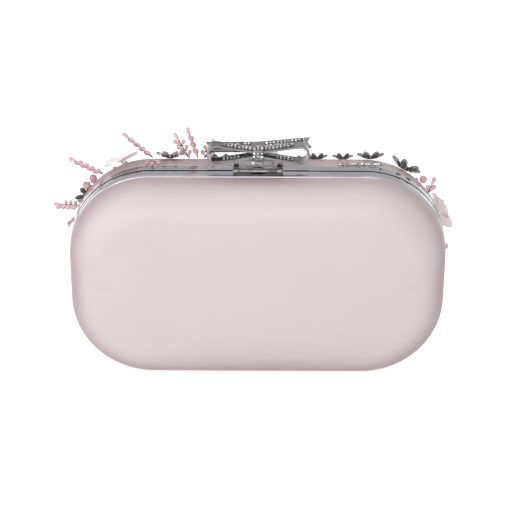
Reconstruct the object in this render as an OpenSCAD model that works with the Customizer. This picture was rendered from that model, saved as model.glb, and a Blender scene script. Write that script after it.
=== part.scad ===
// Box-frame evening bag: two satin shells in a polished metal frame, hinged at the bottom and
// held by a bow clasp on top. Millimetres. +Z up, the plain back faces -Y, the dressed front +Y.
// The origin is the middle of the bottom edge, on the plane where the two halves meet.

/* [Case] */
// Width of the frame outline
bag_w = 196; // [150:1:240]
// Height of the frame outline
bag_h = 110.4; // [100:0.2:140]
// Depth of one half, from the meeting plane to the satin face
half_d = 29.8; // [24:0.2:40]
// Radius of the four corners of the frame outline
corner_r = 43; // [38:0.5:48]
// Radius of the soft edge between the satin face and its sides
edge_r = 18.2; // [14:0.2:20]

/* [Frame] */
// Width of one frame strip, front to back
frame_w = 6.6; // [5.5:0.1:9]
// Wall of the frame strip, and the radius of its outer edge
frame_wall = 1.3; // [1:0.1:1.6]
// Gap between the two halves when the bag is shut
seam_gap = 0.6; // [0.4:0.1:1]
// Bevel along the meeting edge of each frame
seam_bevel = 0.5; // [0.2:0.1:0.8]
// Thickness of the flange behind the seam
flange_t = 1.1; // [0.9:0.1:1.5]
// How far the flange reaches inwards from the outline
flange_d = 5; // [4.6:0.1:6]
// Length of the inner lip, front to back
lip_l = 3.6; // [2.5:0.1:4.5]
// Thickness of the inner lip
lip_t = 0.8; // [0.6:0.1:1]

/* [Shell layers] */
// How far the satin sits inside the frame outline
satin_inset = 0.5; // [0.2:0.1:1]
// Thickness of the satin
satin_t = 0.5; // [0.3:0.1:0.8]
// Padding under the satin at the sides
pad_side = 0.9; // [0.6:0.1:1.2]
// Padding under the satin on the face
pad_face = 1.8; // [1:0.1:3]
// Wall of the moulded shell
shell_t = 1.4; // [1:0.1:2]
// Thickness of the lining
lining_t = 0.6; // [0.4:0.1:1]
// Glue line between two layers
glue_gap = 0.06; // [0.04:0.01:0.1]

/* [Bottom hinge] */
// Radius of the hinge knuckles
knuckle_r = 1; // [0.9:0.05:1.3]
// Radius of the hinge pin
hinge_pin_r = 0.5; // [0.4:0.05:0.6]
// Length of the hinge along the bottom
hinge_l = 104; // [70:1:106]
// Number of knuckles, an odd number
knuckle_count = 9; // [5:2:13]
// Gap between two knuckles
knuckle_gap = 0.25; // [0.2:0.05:0.4]
// Thickness of a hinge leaf
leaf_t = 0.5; // [0.4:0.05:0.6]
// Height of a hinge leaf above the bottom
leaf_h = 4.4; // [3.8:0.1:4.5]
// Half angle of the groove that lets the halves swing apart
groove_angle = 45; // [43:0.5:50]
// Rivets in each hinge leaf
leaf_rivets = 5; // [3:1:7]
// Radius of a hinge rivet
leaf_rivet_r = 0.6; // [0.4:0.05:0.7]
// Running gap round a pin
pin_play = 0.04; // [0.03:0.01:0.06]
// Gap round a rivet in its hole
hole_play = 0.02; // [0.01:0.005:0.04]

/* [Clasp] */
// Half width of the clasp bracket and of the catch plate
clasp_half_w = 12.8; // [11:0.1:16]
// Width of each bracket cheek and each catch ear
cheek_w = 3; // [2:0.1:3.5]
// Thickness of the bracket plate and of the catch plate
plate_t = 0.7; // [0.6:0.05:1]
// Distance of the clasp pin behind the meeting plane
clasp_y = 4.6; // [4.2:0.1:4.8]
// Height of the clasp pin above the frame
clasp_z = 1.9; // [1.8:0.05:2.4]
// Radius of the bar that turns on the clasp pin
bar_r = 1.15; // [1:0.05:1.3]
// Radius of the clasp pin
clasp_pin_r = 0.55; // [0.45:0.05:0.6]
// Radius of a bracket cheek round the pin
cheek_r = 1.85; // [1.5:0.05:1.9]
// Height of the seat that carries the bow, above the frame
seat_z = 6.6; // [6:0.1:8]
// Width of one upright rib of the lever
rib_w = 1.3; // [1:0.1:1.8]
// Number of upright ribs
rib_count = 4; // [3:1:5]
// Width of the hook
hook_w = 6.4; // [4:0.1:9]
// Thickness of the hook
hook_t = 0.9; // [0.7:0.05:1.2]
// Where the hook's nose begins, in front of the meeting plane
nose_y = 3.5; // [3:0.1:4]
// Clear gap between the hook and the catch tongue
hook_gap = 0.3; // [0.2:0.05:0.5]

/* [Bow] */
// Half width of the bow over its two loops
bow_half_w = 26.4; // [22:0.2:30]
// Radius of the round end of a loop
loop_end_r = 5; // [4:0.1:5.2]
// Radius of a loop beside the knot
loop_root_r = 1.7; // [1.3:0.1:2]
// Thickness of the bow's ribbon
ribbon_t = 1.1; // [0.8:0.05:1.4]
// Width of the loop ribbon, front to back
ribbon_w = 6.6; // [5:0.1:8]
// Where the back edge of the loops lies, behind the meeting plane
bow_back = 2.4; // [1.5:0.1:3]
// Length of a ribbon tail
tail_l = 25; // [18:0.5:28]
// Width of a ribbon tail
tail_w = 6; // [4:0.1:7]
// Radius of a stone in the bow
pave_r = 0.8; // [0.6:0.05:1]
// Distance between two stones in the bow
pave_step = 1.9; // [1.7:0.05:2.4]

/* [Dress] */
// Length of a crystal petal
petal_l = 4.4; // [3:0.1:6]
// Width of a crystal petal
petal_w = 2.4; // [1.6:0.1:3]
// Length of a drop bead
drop_l = 5.4; // [4:0.1:7]
// Radius of a drop bead
drop_r = 1.3; // [1:0.05:1.8]
// Radius of a spray's wire
wire_r = 0.35; // [0.3:0.05:0.5]
// Radius of a round bead
round_r = 2.1; // [1.5:0.1:2.6]
// Radius of a seed bead
seed_r = 0.8; // [0.6:0.05:1]
// Radius of one organza petal
organza_r = 6.5; // [5:0.5:8]
// Thickness of an organza petal
organza_t = 0.4; // [0.3:0.05:0.6]

/* [Hidden] */
$fn = 48;

// Corner centres of the outline, from the lower right one clockwise seen from the front.
cx = bag_w / 2 - corner_r;
z_low = corner_r;
z_up = bag_h - corner_r;
corners = [[cx, z_low], [-cx, z_low], [-cx, z_up], [cx, z_up]];
straights = [z_up - z_low, 2 * cx, z_up - z_low, 2 * cx];

// Gaps round a moving piece, and between two fixed pieces that only pass each other.
move_gap = 0.3;
fit_gap = 0.1;
// How far a cut runs past what it cuts.
over = 1;

// Low heads of the rivets: their height, and how far they reach past the shank.
head_t = 0.3;
head_rim = 0.3;

// Depths along Y, counted from the meeting plane.
seam = seam_gap / 2;
flange_y = seam + flange_t;
satin_gap = 0.15;
satin_y = frame_w + satin_gap;
shell_y = flange_y + hole_play + head_t + fit_gap;
padding_y = satin_y + 0.5;
lining_y = seam + lip_l + fit_gap;

// Insets from the outline, and depths of each layer's outer face.
pad_in = satin_inset + satin_t + glue_gap;
shell_in = pad_in + pad_side + glue_gap;
lining_in = shell_in + shell_t + glue_gap;
pad_d = half_d - satin_t - glue_gap;
shell_d = pad_d - pad_face - glue_gap;
lining_d = shell_d - shell_t - glue_gap;

// Hinge axis, and the width over which the halves need the groove.
axis_z = knuckle_r;
knuckle_l = (hinge_l - (knuckle_count - 1) * knuckle_gap) / knuckle_count;
rivet_z = (leaf_h + axis_z + knuckle_r) / 2 + fit_gap;
groove_w = cx + sqrt(pow(corner_r, 2) - pow(corner_r - axis_z - fit_gap, 2));

// Clasp places: the top of the frame, the pin's axis in Y and Z, and the bar between the cheeks.
top_z = bag_h;
pin_at = [-clasp_y, top_z + clasp_z];
bar_gap = 0.2;
bar_l = 2 * (clasp_half_w - cheek_w - bar_gap);
cheek_reach = cheek_r * 0.6;
plate_back = 1.3;
plate_front = 0.9;
bracket_rivet_r = 0.7;
bracket_rivet_x = 5.4;
bracket_rivet_y = flange_y + bracket_rivet_r + head_rim + fit_gap;

// Lever: upright ribs, the seat that they carry, and the foot with its hook.
rib_end = 1.3;
rib_d = 1.5;
rib_t = 0.6;
rib_top_y = -bow_back + 0.6;
rib_pitch = (bar_l - 2 * rib_end - rib_w) / (rib_count - 1);
seat_w = (rib_count - 1) * rib_pitch + rib_w;
seat_t = 1;
seat_d = 3.7;
foot_z = clasp_z + 0.45;
foot_t = 1;
hook_z = plate_t + 0.7;

// Studs that hold the bow on the seat, in front of the ribs.
stud_r = 0.5;
stud_rim = 0.25;
stud_x = 1.6;
stud_y = rib_top_y + rib_d + fit_gap + stud_r + stud_rim;
stud_in = 1.7;

// Flat spring under the foot, and the tongue that the hook snaps over.
spring_t = 0.25;
spring_w = 5.6;
tongue_t = 0.3;
seat_play = 0.02;
catch_rivet_x = 7;
catch_rivet_y = 3;
catch_d = 4.6;
catch_y = 0.9;
ear_h = 3;

// Bow: length and slope of a loop, the loops' middle height over the seat, the knot, the tails.
loop_len = bow_half_w - loop_end_r;
loop_tilt = asin((loop_end_r - loop_root_r) / loop_len);
loop_z = top_z + seat_z + fit_gap + (loop_root_r + seat_w / 2 * sin(loop_tilt)) / cos(loop_tilt);
knot_w = 5.6;
knot_h = 2 * loop_root_r + 2.4;
knot_rim = 0.9;
tail_lean = 32;
tail_sweep = 8;
right_rise = 2;
left_rise = -4;
notch_w = 2.4;

// Stones in the bow: height of a stone, rows and counts.
stone_t = 0.55;
stone_gap = 0.02;
loop_stones = floor((loop_len - 4.5) / pave_step);
tail_stones = floor((tail_l - 3) / pave_step);

// Dress: petals in a flower, its setting, the organza beads, the beads on a spray.
flower_n = 6;
setting_t = 1.1;
setting_gap = 0.03;
cup_t = setting_t * 0.7;
flower_gap = 0.1;
centre_r = 1.5;
stone_h = 1;
petal_h = 0.9;
organza_bead_r = 0.8;
organza_lift = 0.4;
spray_step = 3.6;
bead_off = 0.3;
seed_count = 14;
seed_x = 42;

// The soft edge that carries the dress: its middle line and the satin's surface radius.
edge_y = half_d - edge_r;
face_r = corner_r - satin_inset - edge_r;

// Each place on the soft edge is [x, z, turn, lean]: turn goes round the corner centre (x, z), and
// lean goes from 0 at the side to 90 at the front face. Straight stretches use turn 90 with any x.
// A flower adds its size. A spray adds heading, lift, bead pairs and size.
FLOWERS = [
    [44.5, z_up, 90, 35, 0.85], [59, z_up, 90, 32, 1.1], [cx, z_up, 58, 28, 1.35],
    [31, z_up, 90, 35, 0.85], [-46, z_up, 90, 20, 1.1], [-cx, z_up, 152, 30, 1],
    [-20, z_up, 90, 62, 1.1], [25, z_up, 90, 70, 1.2], [-cx, z_up, 120, 72, 1.2],
    [cx, z_up, 36, 64, 1.1], [-cx, z_low, 205, 60, 1.1], [cx, z_low, -35, 60, 1.1]];
SPRAYS_LEFT = [
    [-55, z_up, 90, 25, -5, 38, 4, 1], [-cx, z_up, 130, 25, 5, 60, 4, 1],
    [-cx, z_up, 162, 30, -10, 62, 4, 0.95], [-cx, z_up, 170, 30, 0, 35, 2, 0.9],
    [-36, z_up, 90, 22, -35, 52, 3, 0.95], [-31.5, z_up, 90, 22, 10, 70, 3, 1],
    [-28, z_up, 90, 30, 130, 50, 2, 0.9], [-54.6, z_up, 90, 0, 90, 14, 1, 0.85]];
SPRAYS_RIGHT = [
    [cx, z_up, 30, 30, -10, 62, 1, 1], [cx, 62, 0, 25, 200, 45, 2, 0.9],
    [cx, 50, 0, 45, 190, 35, 2, 0.9]];
SPRAYS_FACE = [
    [-36, 80, -10, 3], [6, 79, -12, 3], [45, 79, 15, 3], [-50, 60, 10, 3], [-10, 62, -25, 3],
    [21, 57, -20, 3], [60, 58, -50, 3], [-41, 38, 8, 3], [5, 34, 12, 3], [41, 36, -10, 2]];
FACE_FLOWERS = [
    [-48, 78, 1.25], [-8, 80, 1.2], [34, 78, 1.15], [-22, 57, 1.35], [10, 54, 1.2],
    [48, 57, 1.3], [-52, 38, 1.15], [32, 34, 1.15]];
ORGANZA = [[-cx, z_up, 112, 16], [-cx, z_low, 178, 45], [cx, z_up, 14, 24], [2, z_up, 90, 60]];
FACE_ORGANZA = [[-64, 58], [-10, 34], [67, 38]];
ROUND_BEADS = [[-cx, z_up, 143, 12], [-cx, z_up, 137, 20], [-cx, z_up, 140, 32], [cx, z_up, 44, 14]];

// ---- Shapes shared by both halves ----

// Sweeps a section round the outline. Its X is the distance from the corner centre, its Y the depth.
module round_outline() {
    for (k = [0 : 3])
        translate([corners[k][0], 0, corners[k][1]]) rotate([0, 90 * k, 0]) {
            rotate([-90, 0, 0]) rotate_extrude(angle = 90) children();
            linear_extrude(straights[k]) children();
        }
}

// Section of a closed tub: flat sides and face with a round edge between them.
module tub_section(r, depth, round, from) {
    translate([0, from]) square([r, depth - round - from]);
    translate([0, from]) square([r - round, depth - from]);
    translate([r - round, depth - round]) intersection() {
        circle(round);
        square(round);
    }
}

// A solid tub whose side is inset from the outline and whose face lies at depth.
module tub(inset, depth, from) {
    back_off = ((inset - satin_inset) + (half_d - depth)) / 2;
    round_outline() tub_section(corner_r - inset, depth, edge_r - back_off, from);
    translate([-cx, from, z_low]) cube([2 * cx, depth - from, z_up - z_low]);
}

// A hollow layer of a half, open at its rim.
module layer(inset, depth, side_t, face_t, from) {
    difference() {
        tub(inset, depth, from);
        tub(inset + side_t, depth - face_t, from - 1);
    }
}

// Section of the frame: outer strip with a bevelled meeting edge and a round outer edge, the
// flange behind the seam, and the lip that holds the shell's rim.
module frame_section() {
    r = corner_r;
    straight_y = frame_w - frame_wall;
    polygon([[r - frame_wall, seam], [r - seam_bevel, seam], [r, seam + seam_bevel],
        [r, straight_y], [r - frame_wall, straight_y]]);
    intersection() {
        translate([r - frame_wall, straight_y]) circle(frame_wall);
        translate([r - frame_wall, straight_y]) square(frame_wall);
    }
    translate([r - flange_d, seam]) square([flange_d - frame_wall, flange_t]);
    translate([r - flange_d, seam]) square([lip_t, lip_l]);
}

// The groove along the bottom that the halves swing in, and the room for knuckles and leaf.
module hinge_room() {
    groove_y = (axis_z + over) * tan(groove_angle);
    translate([-groove_w, 0, 0]) rotate([90, 0, 90]) linear_extrude(2 * groove_w)
        polygon([[0, axis_z], [-groove_y, -over], [groove_y, -over]]);
    translate([-hinge_l / 2 - fit_gap, 0, axis_z]) rotate([0, 90, 0])
        cylinder(r = knuckle_r + move_gap, h = hinge_l + 2 * fit_gap);
    translate([-hinge_l / 2 - fit_gap, seam - over, axis_z])
        cube([hinge_l + 2 * fit_gap, over + leaf_t + glue_gap, leaf_h - axis_z + fit_gap]);
}

// X places of the hinge rivets.
function rivet_x(i) = (i - (leaf_rivets - 1) / 2) * hinge_l / leaf_rivets;

module half_frame() {
    difference() {
        round_outline() frame_section();
        hinge_room();
        for (i = [0 : leaf_rivets - 1])
            translate([rivet_x(i), 0, rivet_z]) rotate([-90, 0, 0])
                cylinder(r = leaf_rivet_r, h = flange_y + over);
    }
}

// The satin, with its edge turned in over the padding.
module half_satin() {
    turned_w = shell_in - satin_inset - satin_t;
    turned_t = 0.4;
    layer(satin_inset, half_d, satin_t, satin_t, satin_y);
    round_outline() translate([corner_r - shell_in + glue_gap, satin_y]) square([turned_w, turned_t]);
}

module half_padding() layer(pad_in, pad_d, pad_side, pad_face, padding_y);
module half_shell() layer(shell_in, shell_d, shell_t, shell_t, shell_y);
module half_lining() layer(lining_in, lining_d, lining_t, lining_t, lining_y);

// One hinge leaf with every second knuckle, the first one counted from the left.
module hinge_leaf(first) {
    difference() {
        union() {
            translate([-hinge_l / 2, seam, axis_z]) cube([hinge_l, leaf_t, leaf_h - axis_z]);
            for (k = [first : 2 : knuckle_count - 1])
                translate([-hinge_l / 2 + k * (knuckle_l + knuckle_gap), 0, axis_z]) rotate([0, 90, 0])
                    cylinder(r = knuckle_r, h = knuckle_l);
        }
        for (k = [1 - first : 2 : knuckle_count - 1])
            translate([-hinge_l / 2 + k * (knuckle_l + knuckle_gap) - knuckle_gap, 0, axis_z])
                rotate([0, 90, 0]) cylinder(r = knuckle_r + move_gap, h = knuckle_l + 2 * knuckle_gap);
        translate([-hinge_l / 2 - over, 0, axis_z]) rotate([0, 90, 0])
            cylinder(r = hinge_pin_r + pin_play, h = hinge_l + 2 * over);
        for (i = [0 : leaf_rivets - 1])
            translate([rivet_x(i), 0, rivet_z]) rotate([-90, 0, 0])
                cylinder(r = leaf_rivet_r, h = flange_y);
    }
}

// Rivets of one leaf: flush in the leaf, with a low head on the flange.
module leaf_rivet_set() {
    for (i = [0 : leaf_rivets - 1])
        translate([rivet_x(i), seam, rivet_z]) rotate([-90, 0, 0]) {
            cylinder(r = leaf_rivet_r - hole_play, h = flange_t + hole_play);
            translate([0, 0, flange_t + hole_play])
                cylinder(r1 = leaf_rivet_r + head_rim, r2 = leaf_rivet_r / 2, h = head_t);
        }
}

module back_side() mirror([0, 1, 0]) children();

// ---- Back half ----

module back_frame() color("silver") difference() {
    back_side() half_frame();
    for (s = [-1, 1]) translate([s * bracket_rivet_x, -bracket_rivet_y, top_z - frame_wall - over])
        cylinder(r = bracket_rivet_r, h = frame_wall + 2 * over);
}
module back_shell() color("whitesmoke") back_side() half_shell();
module back_padding() color("white") back_side() half_padding();
module back_satin() color("mistyrose") back_side() half_satin();
module back_lining() color("thistle") back_side() half_lining();
module back_hinge_leaf() color("silver") back_side() hinge_leaf(0);
module back_hinge_rivets() color("silver") back_side() leaf_rivet_set();
module hinge_pin() color("gray") translate([-hinge_l / 2, 0, axis_z]) rotate([0, 90, 0])
    cylinder(r = hinge_pin_r, h = hinge_l);

// ---- Clasp bracket on the back half ----

// One cheek: an upright that stands on the frame behind the seam, round at the pin.
module bracket_cheek() intersection() {
    union() {
        translate([0, pin_at[0], pin_at[1]]) rotate([0, 90, 0]) cylinder(r = cheek_r, h = cheek_w);
        translate([0, pin_at[0] - cheek_reach, top_z])
            cube([cheek_w, clasp_y + cheek_reach - seam - fit_gap, clasp_z]);
    }
    translate([-over, pin_at[0] - cheek_r - over, top_z + glue_gap])
        cube([cheek_w + 2 * over, clasp_y + cheek_r + over, clasp_z + cheek_r + over]);
}

module clasp_bracket() color("silver") difference() {
    union() {
        translate([-clasp_half_w, -clasp_y - plate_back, top_z + glue_gap])
            cube([2 * clasp_half_w, clasp_y + plate_back - plate_front, plate_t - glue_gap]);
        for (x = [-clasp_half_w, clasp_half_w - cheek_w]) translate([x, 0, 0]) bracket_cheek();
    }
    translate([-clasp_half_w - over, pin_at[0], pin_at[1]]) rotate([0, 90, 0])
        cylinder(r = clasp_pin_r, h = 2 * (clasp_half_w + over));
    translate([-bar_l / 2 - bar_gap, pin_at[0], pin_at[1]]) rotate([0, 90, 0])
        cylinder(r = bar_r + move_gap, h = bar_l + 2 * bar_gap);
    for (s = [-1, 1]) translate([s * bracket_rivet_x, -bracket_rivet_y, top_z])
        cylinder(r = bracket_rivet_r, h = plate_t + over);
}

// A rivet through a plate and the frame's wall, flush on top, with its head inside the frame.
module plate_rivet() {
    translate([0, 0, -frame_wall - hole_play])
        cylinder(r = bracket_rivet_r - hole_play, h = frame_wall + hole_play + plate_t);
    translate([0, 0, -frame_wall - head_t])
        cylinder(r1 = bracket_rivet_r / 2, r2 = bracket_rivet_r + head_rim, h = head_t - hole_play);
}

module bracket_rivets() color("gray")
    for (s = [-1, 1]) translate([s * bracket_rivet_x, -bracket_rivet_y, top_z]) plate_rivet();

module clasp_pin() color("gray") translate([-clasp_half_w, pin_at[0], pin_at[1]]) rotate([0, 90, 0])
    cylinder(r = clasp_pin_r - 0.005, h = 2 * clasp_half_w);

// A flat spring on the bracket plate that presses on the foot of the lever.
module clasp_spring() color("dimgray") translate([-spring_w / 2, 0, top_z]) rotate([90, 0, 90]) {
    low = plate_t + seat_play;
    high = foot_z - 0.05;
    linear_extrude(spring_w) polygon([
        [-0.95, low], [-2.9, low], [-2.9, low + spring_t], [-1.4, low + spring_t],
        [-2.5, high - spring_t], [-2.5, high], [-2.2, high]]);
}

// ---- Clasp lever with its bow ----

// Upright rib, leaning from the bar towards the seat.
module lever_rib() hull() {
    translate([0, -clasp_y + 0.4, clasp_z + 0.3]) cube([rib_w, rib_d, rib_t]);
    translate([0, rib_top_y, seat_z - seat_t]) cube([rib_w, rib_d, rib_t]);
}

module clasp_lever() color("silver") translate([0, 0, top_z]) difference() {
    union() {
        translate([-bar_l / 2, -clasp_y, clasp_z]) rotate([0, 90, 0]) cylinder(r = bar_r, h = bar_l);
        for (k = [0 : rib_count - 1])
            translate([(k - (rib_count - 1) / 2) * rib_pitch - rib_w / 2, 0, 0]) lever_rib();
        translate([-seat_w / 2, rib_top_y - 0.2, seat_z - seat_t]) cube([seat_w, seat_d, seat_t]);
        translate([-hook_w / 2, -clasp_y, foot_z]) cube([hook_w, clasp_y + nose_y + hook_t, foot_t]);
        translate([-hook_w / 2, nose_y, hook_z]) cube([hook_w, hook_t, foot_z + foot_t - hook_z]);
    }
    translate([-bar_l / 2 - over, -clasp_y, clasp_z]) rotate([0, 90, 0])
        cylinder(r = clasp_pin_r + pin_play, h = bar_l + 2 * over);
    for (s = [-1, 1]) translate([s * stud_x, stud_y, seat_z - seat_t - over])
        cylinder(r = stud_r, h = seat_t + 2 * over);
}

// Outline of one loop: a small round root at the knot and a large round end.
module loop_outline(inset) {
    root = loop_root_r - inset;
    end = loop_end_r - inset;
    if (root > 0) circle(root);
    translate([loop_len, 0]) circle(end);
    polygon([
        [-root * sin(loop_tilt), root * cos(loop_tilt)],
        [loop_len - end * sin(loop_tilt), end * cos(loop_tilt)],
        [loop_len - end * sin(loop_tilt), -end * cos(loop_tilt)],
        [-root * sin(loop_tilt), -root * cos(loop_tilt)]]);
}

module bow_loop() translate([0, ribbon_w - bow_back, loop_z]) rotate([90, 0, 0]) linear_extrude(ribbon_w)
    difference() {
        loop_outline(0);
        loop_outline(ribbon_t);
    }

// Places a ribbon tail: it leaves the knot behind the loop and leans back.
module at_tail(rise) translate([0, ribbon_w - bow_back - 0.8, loop_z - 1]) rotate([0, -rise, tail_sweep])
    rotate([tail_lean, 0, 0]) children();

module tail_plate() {
    length = tail_l + knot_w / 2;
    difference() {
        cube([length, tail_w, ribbon_t]);
        translate([length, tail_w / 2, -over]) rotate([0, 0, 45])
            translate([-notch_w / 2, -notch_w / 2, 0]) cube([notch_w, notch_w, ribbon_t + 2 * over]);
    }
}

module bow_ribbon() color("silver") difference() {
    union() {
        bow_loop();
        mirror([1, 0, 0]) bow_loop();
        at_tail(right_rise) tail_plate();
        mirror([1, 0, 0]) at_tail(left_rise) tail_plate();
        translate([-knot_w / 2, -bow_back - knot_rim, top_z + seat_z + glue_gap])
            cube([knot_w, ribbon_w + 2 * knot_rim, knot_h]);
    }
    for (s = [-1, 1]) translate([s * stud_x, stud_y, top_z + seat_z - over])
        cylinder(r = stud_r, h = over + stud_in + fit_gap);
}

module bow_studs() color("gray")
    for (s = [-1, 1]) translate([s * stud_x, stud_y, top_z + seat_z - seat_t - hole_play]) {
        cylinder(r = stud_r - hole_play, h = seat_t + stud_in);
        translate([0, 0, -head_t]) cylinder(r1 = stud_r * 0.6, r2 = stud_r + stud_rim, h = head_t);
    }

// One set stone: a low cone that stands on its seat.
module pave_stone() translate([0, 0, stone_gap]) cylinder(r1 = pave_r, r2 = pave_r * 0.55, h = stone_t);

// Rows of stones on the outer top and the inner bottom of one loop.
module loop_stone_rows() for (row = [-1, 1], i = [0 : loop_stones - 1]) {
    row_y = ribbon_w / 2 - bow_back + row * pave_step * 0.55;
    translate([0, row_y, loop_z]) rotate([0, -loop_tilt, 0])
        translate([knot_w / 2 + 1.6 + i * pave_step, 0, loop_root_r]) pave_stone();
    if (i > 2) translate([0, row_y, loop_z]) rotate([0, loop_tilt, 0])
        translate([knot_w / 2 + 1.6 + i * pave_step, 0, -loop_root_r + ribbon_t]) pave_stone();
}
module bow_loop_stones() color("white") {
    loop_stone_rows();
    mirror([1, 0, 0]) loop_stone_rows();
}

module tail_stone_rows() for (row = [0 : 1], i = [0 : tail_stones - 1])
    translate([5 + i * pave_step, tail_w - 1.3 - row * pave_step, ribbon_t]) pave_stone();
module bow_tail_stones() color("white") {
    at_tail(right_rise) tail_stone_rows();
    mirror([1, 0, 0]) at_tail(left_rise) tail_stone_rows();
}

// Stones on the top and on the back of the knot.
module bow_knot_stones() color("white") for (col = [-1 : 1]) {
    knot_z = top_z + seat_z + glue_gap;
    for (row = [0 : 2])
        translate([col * pave_step, -bow_back + 0.4 + row * pave_step, knot_z + knot_h]) pave_stone();
    for (row = [0 : 1])
        translate([col * pave_step, -bow_back - knot_rim, knot_z + knot_h - 1.4 - row * pave_step])
            rotate([90, 0, 0]) pave_stone();
}

// ---- Front half ----

module front_frame() color("silver") difference() {
    half_frame();
    for (s = [-1, 1]) translate([s * catch_rivet_x, catch_rivet_y, top_z - frame_wall - over])
        cylinder(r = bracket_rivet_r, h = frame_wall + 2 * over);
}
module front_shell() color("whitesmoke") half_shell();
module front_padding() color("white") half_padding();
module front_satin() color("mistyrose") half_satin();
module front_lining() color("thistle") half_lining();
module front_hinge_leaf() color("silver") hinge_leaf(1);
module front_hinge_rivets() color("silver") leaf_rivet_set();

// A plate with two ears that face the bracket's cheeks across the seam.
module catch_plate() color("silver") difference() {
    union() {
        translate([-clasp_half_w, catch_y, top_z + glue_gap])
            cube([2 * clasp_half_w, catch_d, plate_t - glue_gap]);
        for (x = [-clasp_half_w, clasp_half_w - cheek_w])
            translate([x, catch_y + 0.2, top_z + glue_gap]) cube([cheek_w, catch_d - 0.6, ear_h]);
    }
    for (s = [-1, 1]) translate([s * catch_rivet_x, catch_rivet_y, top_z])
        cylinder(r = bracket_rivet_r, h = plate_t + over);
}

module catch_rivets() color("gray")
    for (s = [-1, 1]) translate([s * catch_rivet_x, catch_rivet_y, top_z]) plate_rivet();

// A spring tongue on the catch plate: the hook snaps down behind its upright lip.
module catch_tongue() color("dimgray") {
    lip_y = nose_y - hook_gap - tongue_t;
    translate([-hook_w / 2, lip_y, top_z + plate_t + seat_play]) {
        cube([hook_w, catch_y + catch_d - 0.2 - lip_y, tongue_t]);
        cube([hook_w, tongue_t, foot_z - plate_t - hook_gap]);
    }
}

// ---- Dress of the front half ----

// Stands its children on the soft edge of the satin, with their +Z pointing outwards.
module on_edge(p) translate([p[0], edge_y, p[1]]) rotate([0, -p[2], 0]) translate([face_r, 0, 0])
    rotate([0, 0, p[3]]) translate([edge_r, 0, 0]) rotate([0, 90, 0]) children();

// Stands its children on the flat front of the satin, with +Z pointing outwards.
module on_face(x, z) translate([x, half_d, z]) rotate([-90, 0, 0]) children();

module every_flower() {
    for (p = FLOWERS) on_edge(p) scale(p[4]) children();
    for (p = FACE_FLOWERS) on_face(p[0], p[1]) scale(p[2]) children();
}

// A flower is a metal setting with a cup for each petal round a centre cup.
module navette(l, w, h) {
    arc_r = (l * l + w * w) / (4 * w);
    linear_extrude(h) intersection() {
        translate([0, arc_r - w / 2]) circle(arc_r);
        translate([0, w / 2 - arc_r]) circle(arc_r);
    }
}
module petal_ring(from) for (k = [0 : flower_n - 1])
    rotate([0, 0, k * 360 / flower_n]) translate([centre_r + petal_l / 2 + from, 0, 0]) children();

module flower_setting() translate([0, 0, flower_gap]) {
    cylinder(r = centre_r + 0.4, h = setting_t);
    petal_ring(0) navette(petal_l + 0.8, petal_w + 0.6, cup_t);
}
module flower_settings() color("silver") every_flower() flower_setting();
module flower_petals() color("lavenderblush") every_flower()
    petal_ring(0.45) translate([0, 0, flower_gap + cup_t + setting_gap])
        navette(petal_l * 0.8, petal_w * 0.85, petal_h);
module flower_centres() color("palevioletred") every_flower()
    translate([0, 0, flower_gap + setting_t + setting_gap])
        cylinder(r1 = centre_r, r2 = centre_r * 0.55, h = stone_h);

// Four thin round petals of sheer cloth round a small bead.
module organza_ring() difference() {
    for (k = [0 : 3]) rotate([0, 0, 45 + k * 90]) translate([-2 * organza_bead_r, 0, organza_lift])
        rotate([0, -12 - 5 * (k % 2), 0]) translate([organza_r, 0, 0]) cylinder(r = organza_r, h = organza_t);
    translate([0, 0, -over]) cylinder(r = organza_bead_r + hole_play * 5, h = 2 * over + organza_r);
}
module organza_bead() translate([0, 0, organza_bead_r + fit_gap]) sphere(organza_bead_r);
module every_organza() {
    for (p = ORGANZA) on_edge(p) children();
    for (p = FACE_ORGANZA) on_face(p[0], p[1]) children();
}
module organza_petals() color("mistyrose") every_organza() organza_ring();
module organza_centres() color("pink") every_organza() organza_bead();

// A spray is a straight wire with drop beads in pairs along it and one at its tip.
module drop_bead() rotate([0, 90, 0]) rotate_extrude() difference() {
    union() {
        translate([0, drop_l - drop_r]) circle(drop_r);
        polygon([[0, 0], [0.35, 0], [drop_r * 0.97, drop_l - drop_r * 1.25], [0, drop_l - drop_r]]);
    }
    translate([-drop_l, -drop_l]) square([drop_l, 3 * drop_l]);
}
module spray_frame(p) on_edge(p) translate([0, 0, wire_r + 0.05]) rotate([0, 0, 180 + p[4]])
    rotate([0, -p[5], 0]) scale(p[7]) children();
module face_frame(p) on_face(p[0], p[1]) translate([0, 0, drop_r - 0.1]) rotate([0, 0, p[2]])
    rotate([0, -8, 0]) children();
module spray_wire(n) rotate([0, 90, 0]) cylinder(r = wire_r, h = n * spray_step + 0.6);
module spray_beads(n) {
    translate([n * spray_step + 0.8, 0, 0]) drop_bead();
    for (k = [0 : n - 1], s = [-1, 1])
        translate([(k + 0.35) * spray_step, s * (wire_r + bead_off), 0]) rotate([0, 0, s * 48]) drop_bead();
}

module spray_wires() color("silver") {
    for (p = SPRAYS_LEFT) spray_frame(p) spray_wire(p[6]);
    for (p = SPRAYS_RIGHT) spray_frame(p) spray_wire(p[6]);
    for (p = SPRAYS_FACE) face_frame(p) spray_wire(p[3]);
}
module drop_beads_left() color("pink") for (p = SPRAYS_LEFT) spray_frame(p) spray_beads(p[6]);
module drop_beads_right() color("pink") for (p = SPRAYS_RIGHT) spray_frame(p) spray_beads(p[6]);
module drop_beads_face() color("pink") for (p = SPRAYS_FACE) face_frame(p) spray_beads(p[3]);
module round_beads() color("pink") for (p = ROUND_BEADS) on_edge(p)
    translate([0, 0, round_r + fit_gap]) sphere(round_r);

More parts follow.
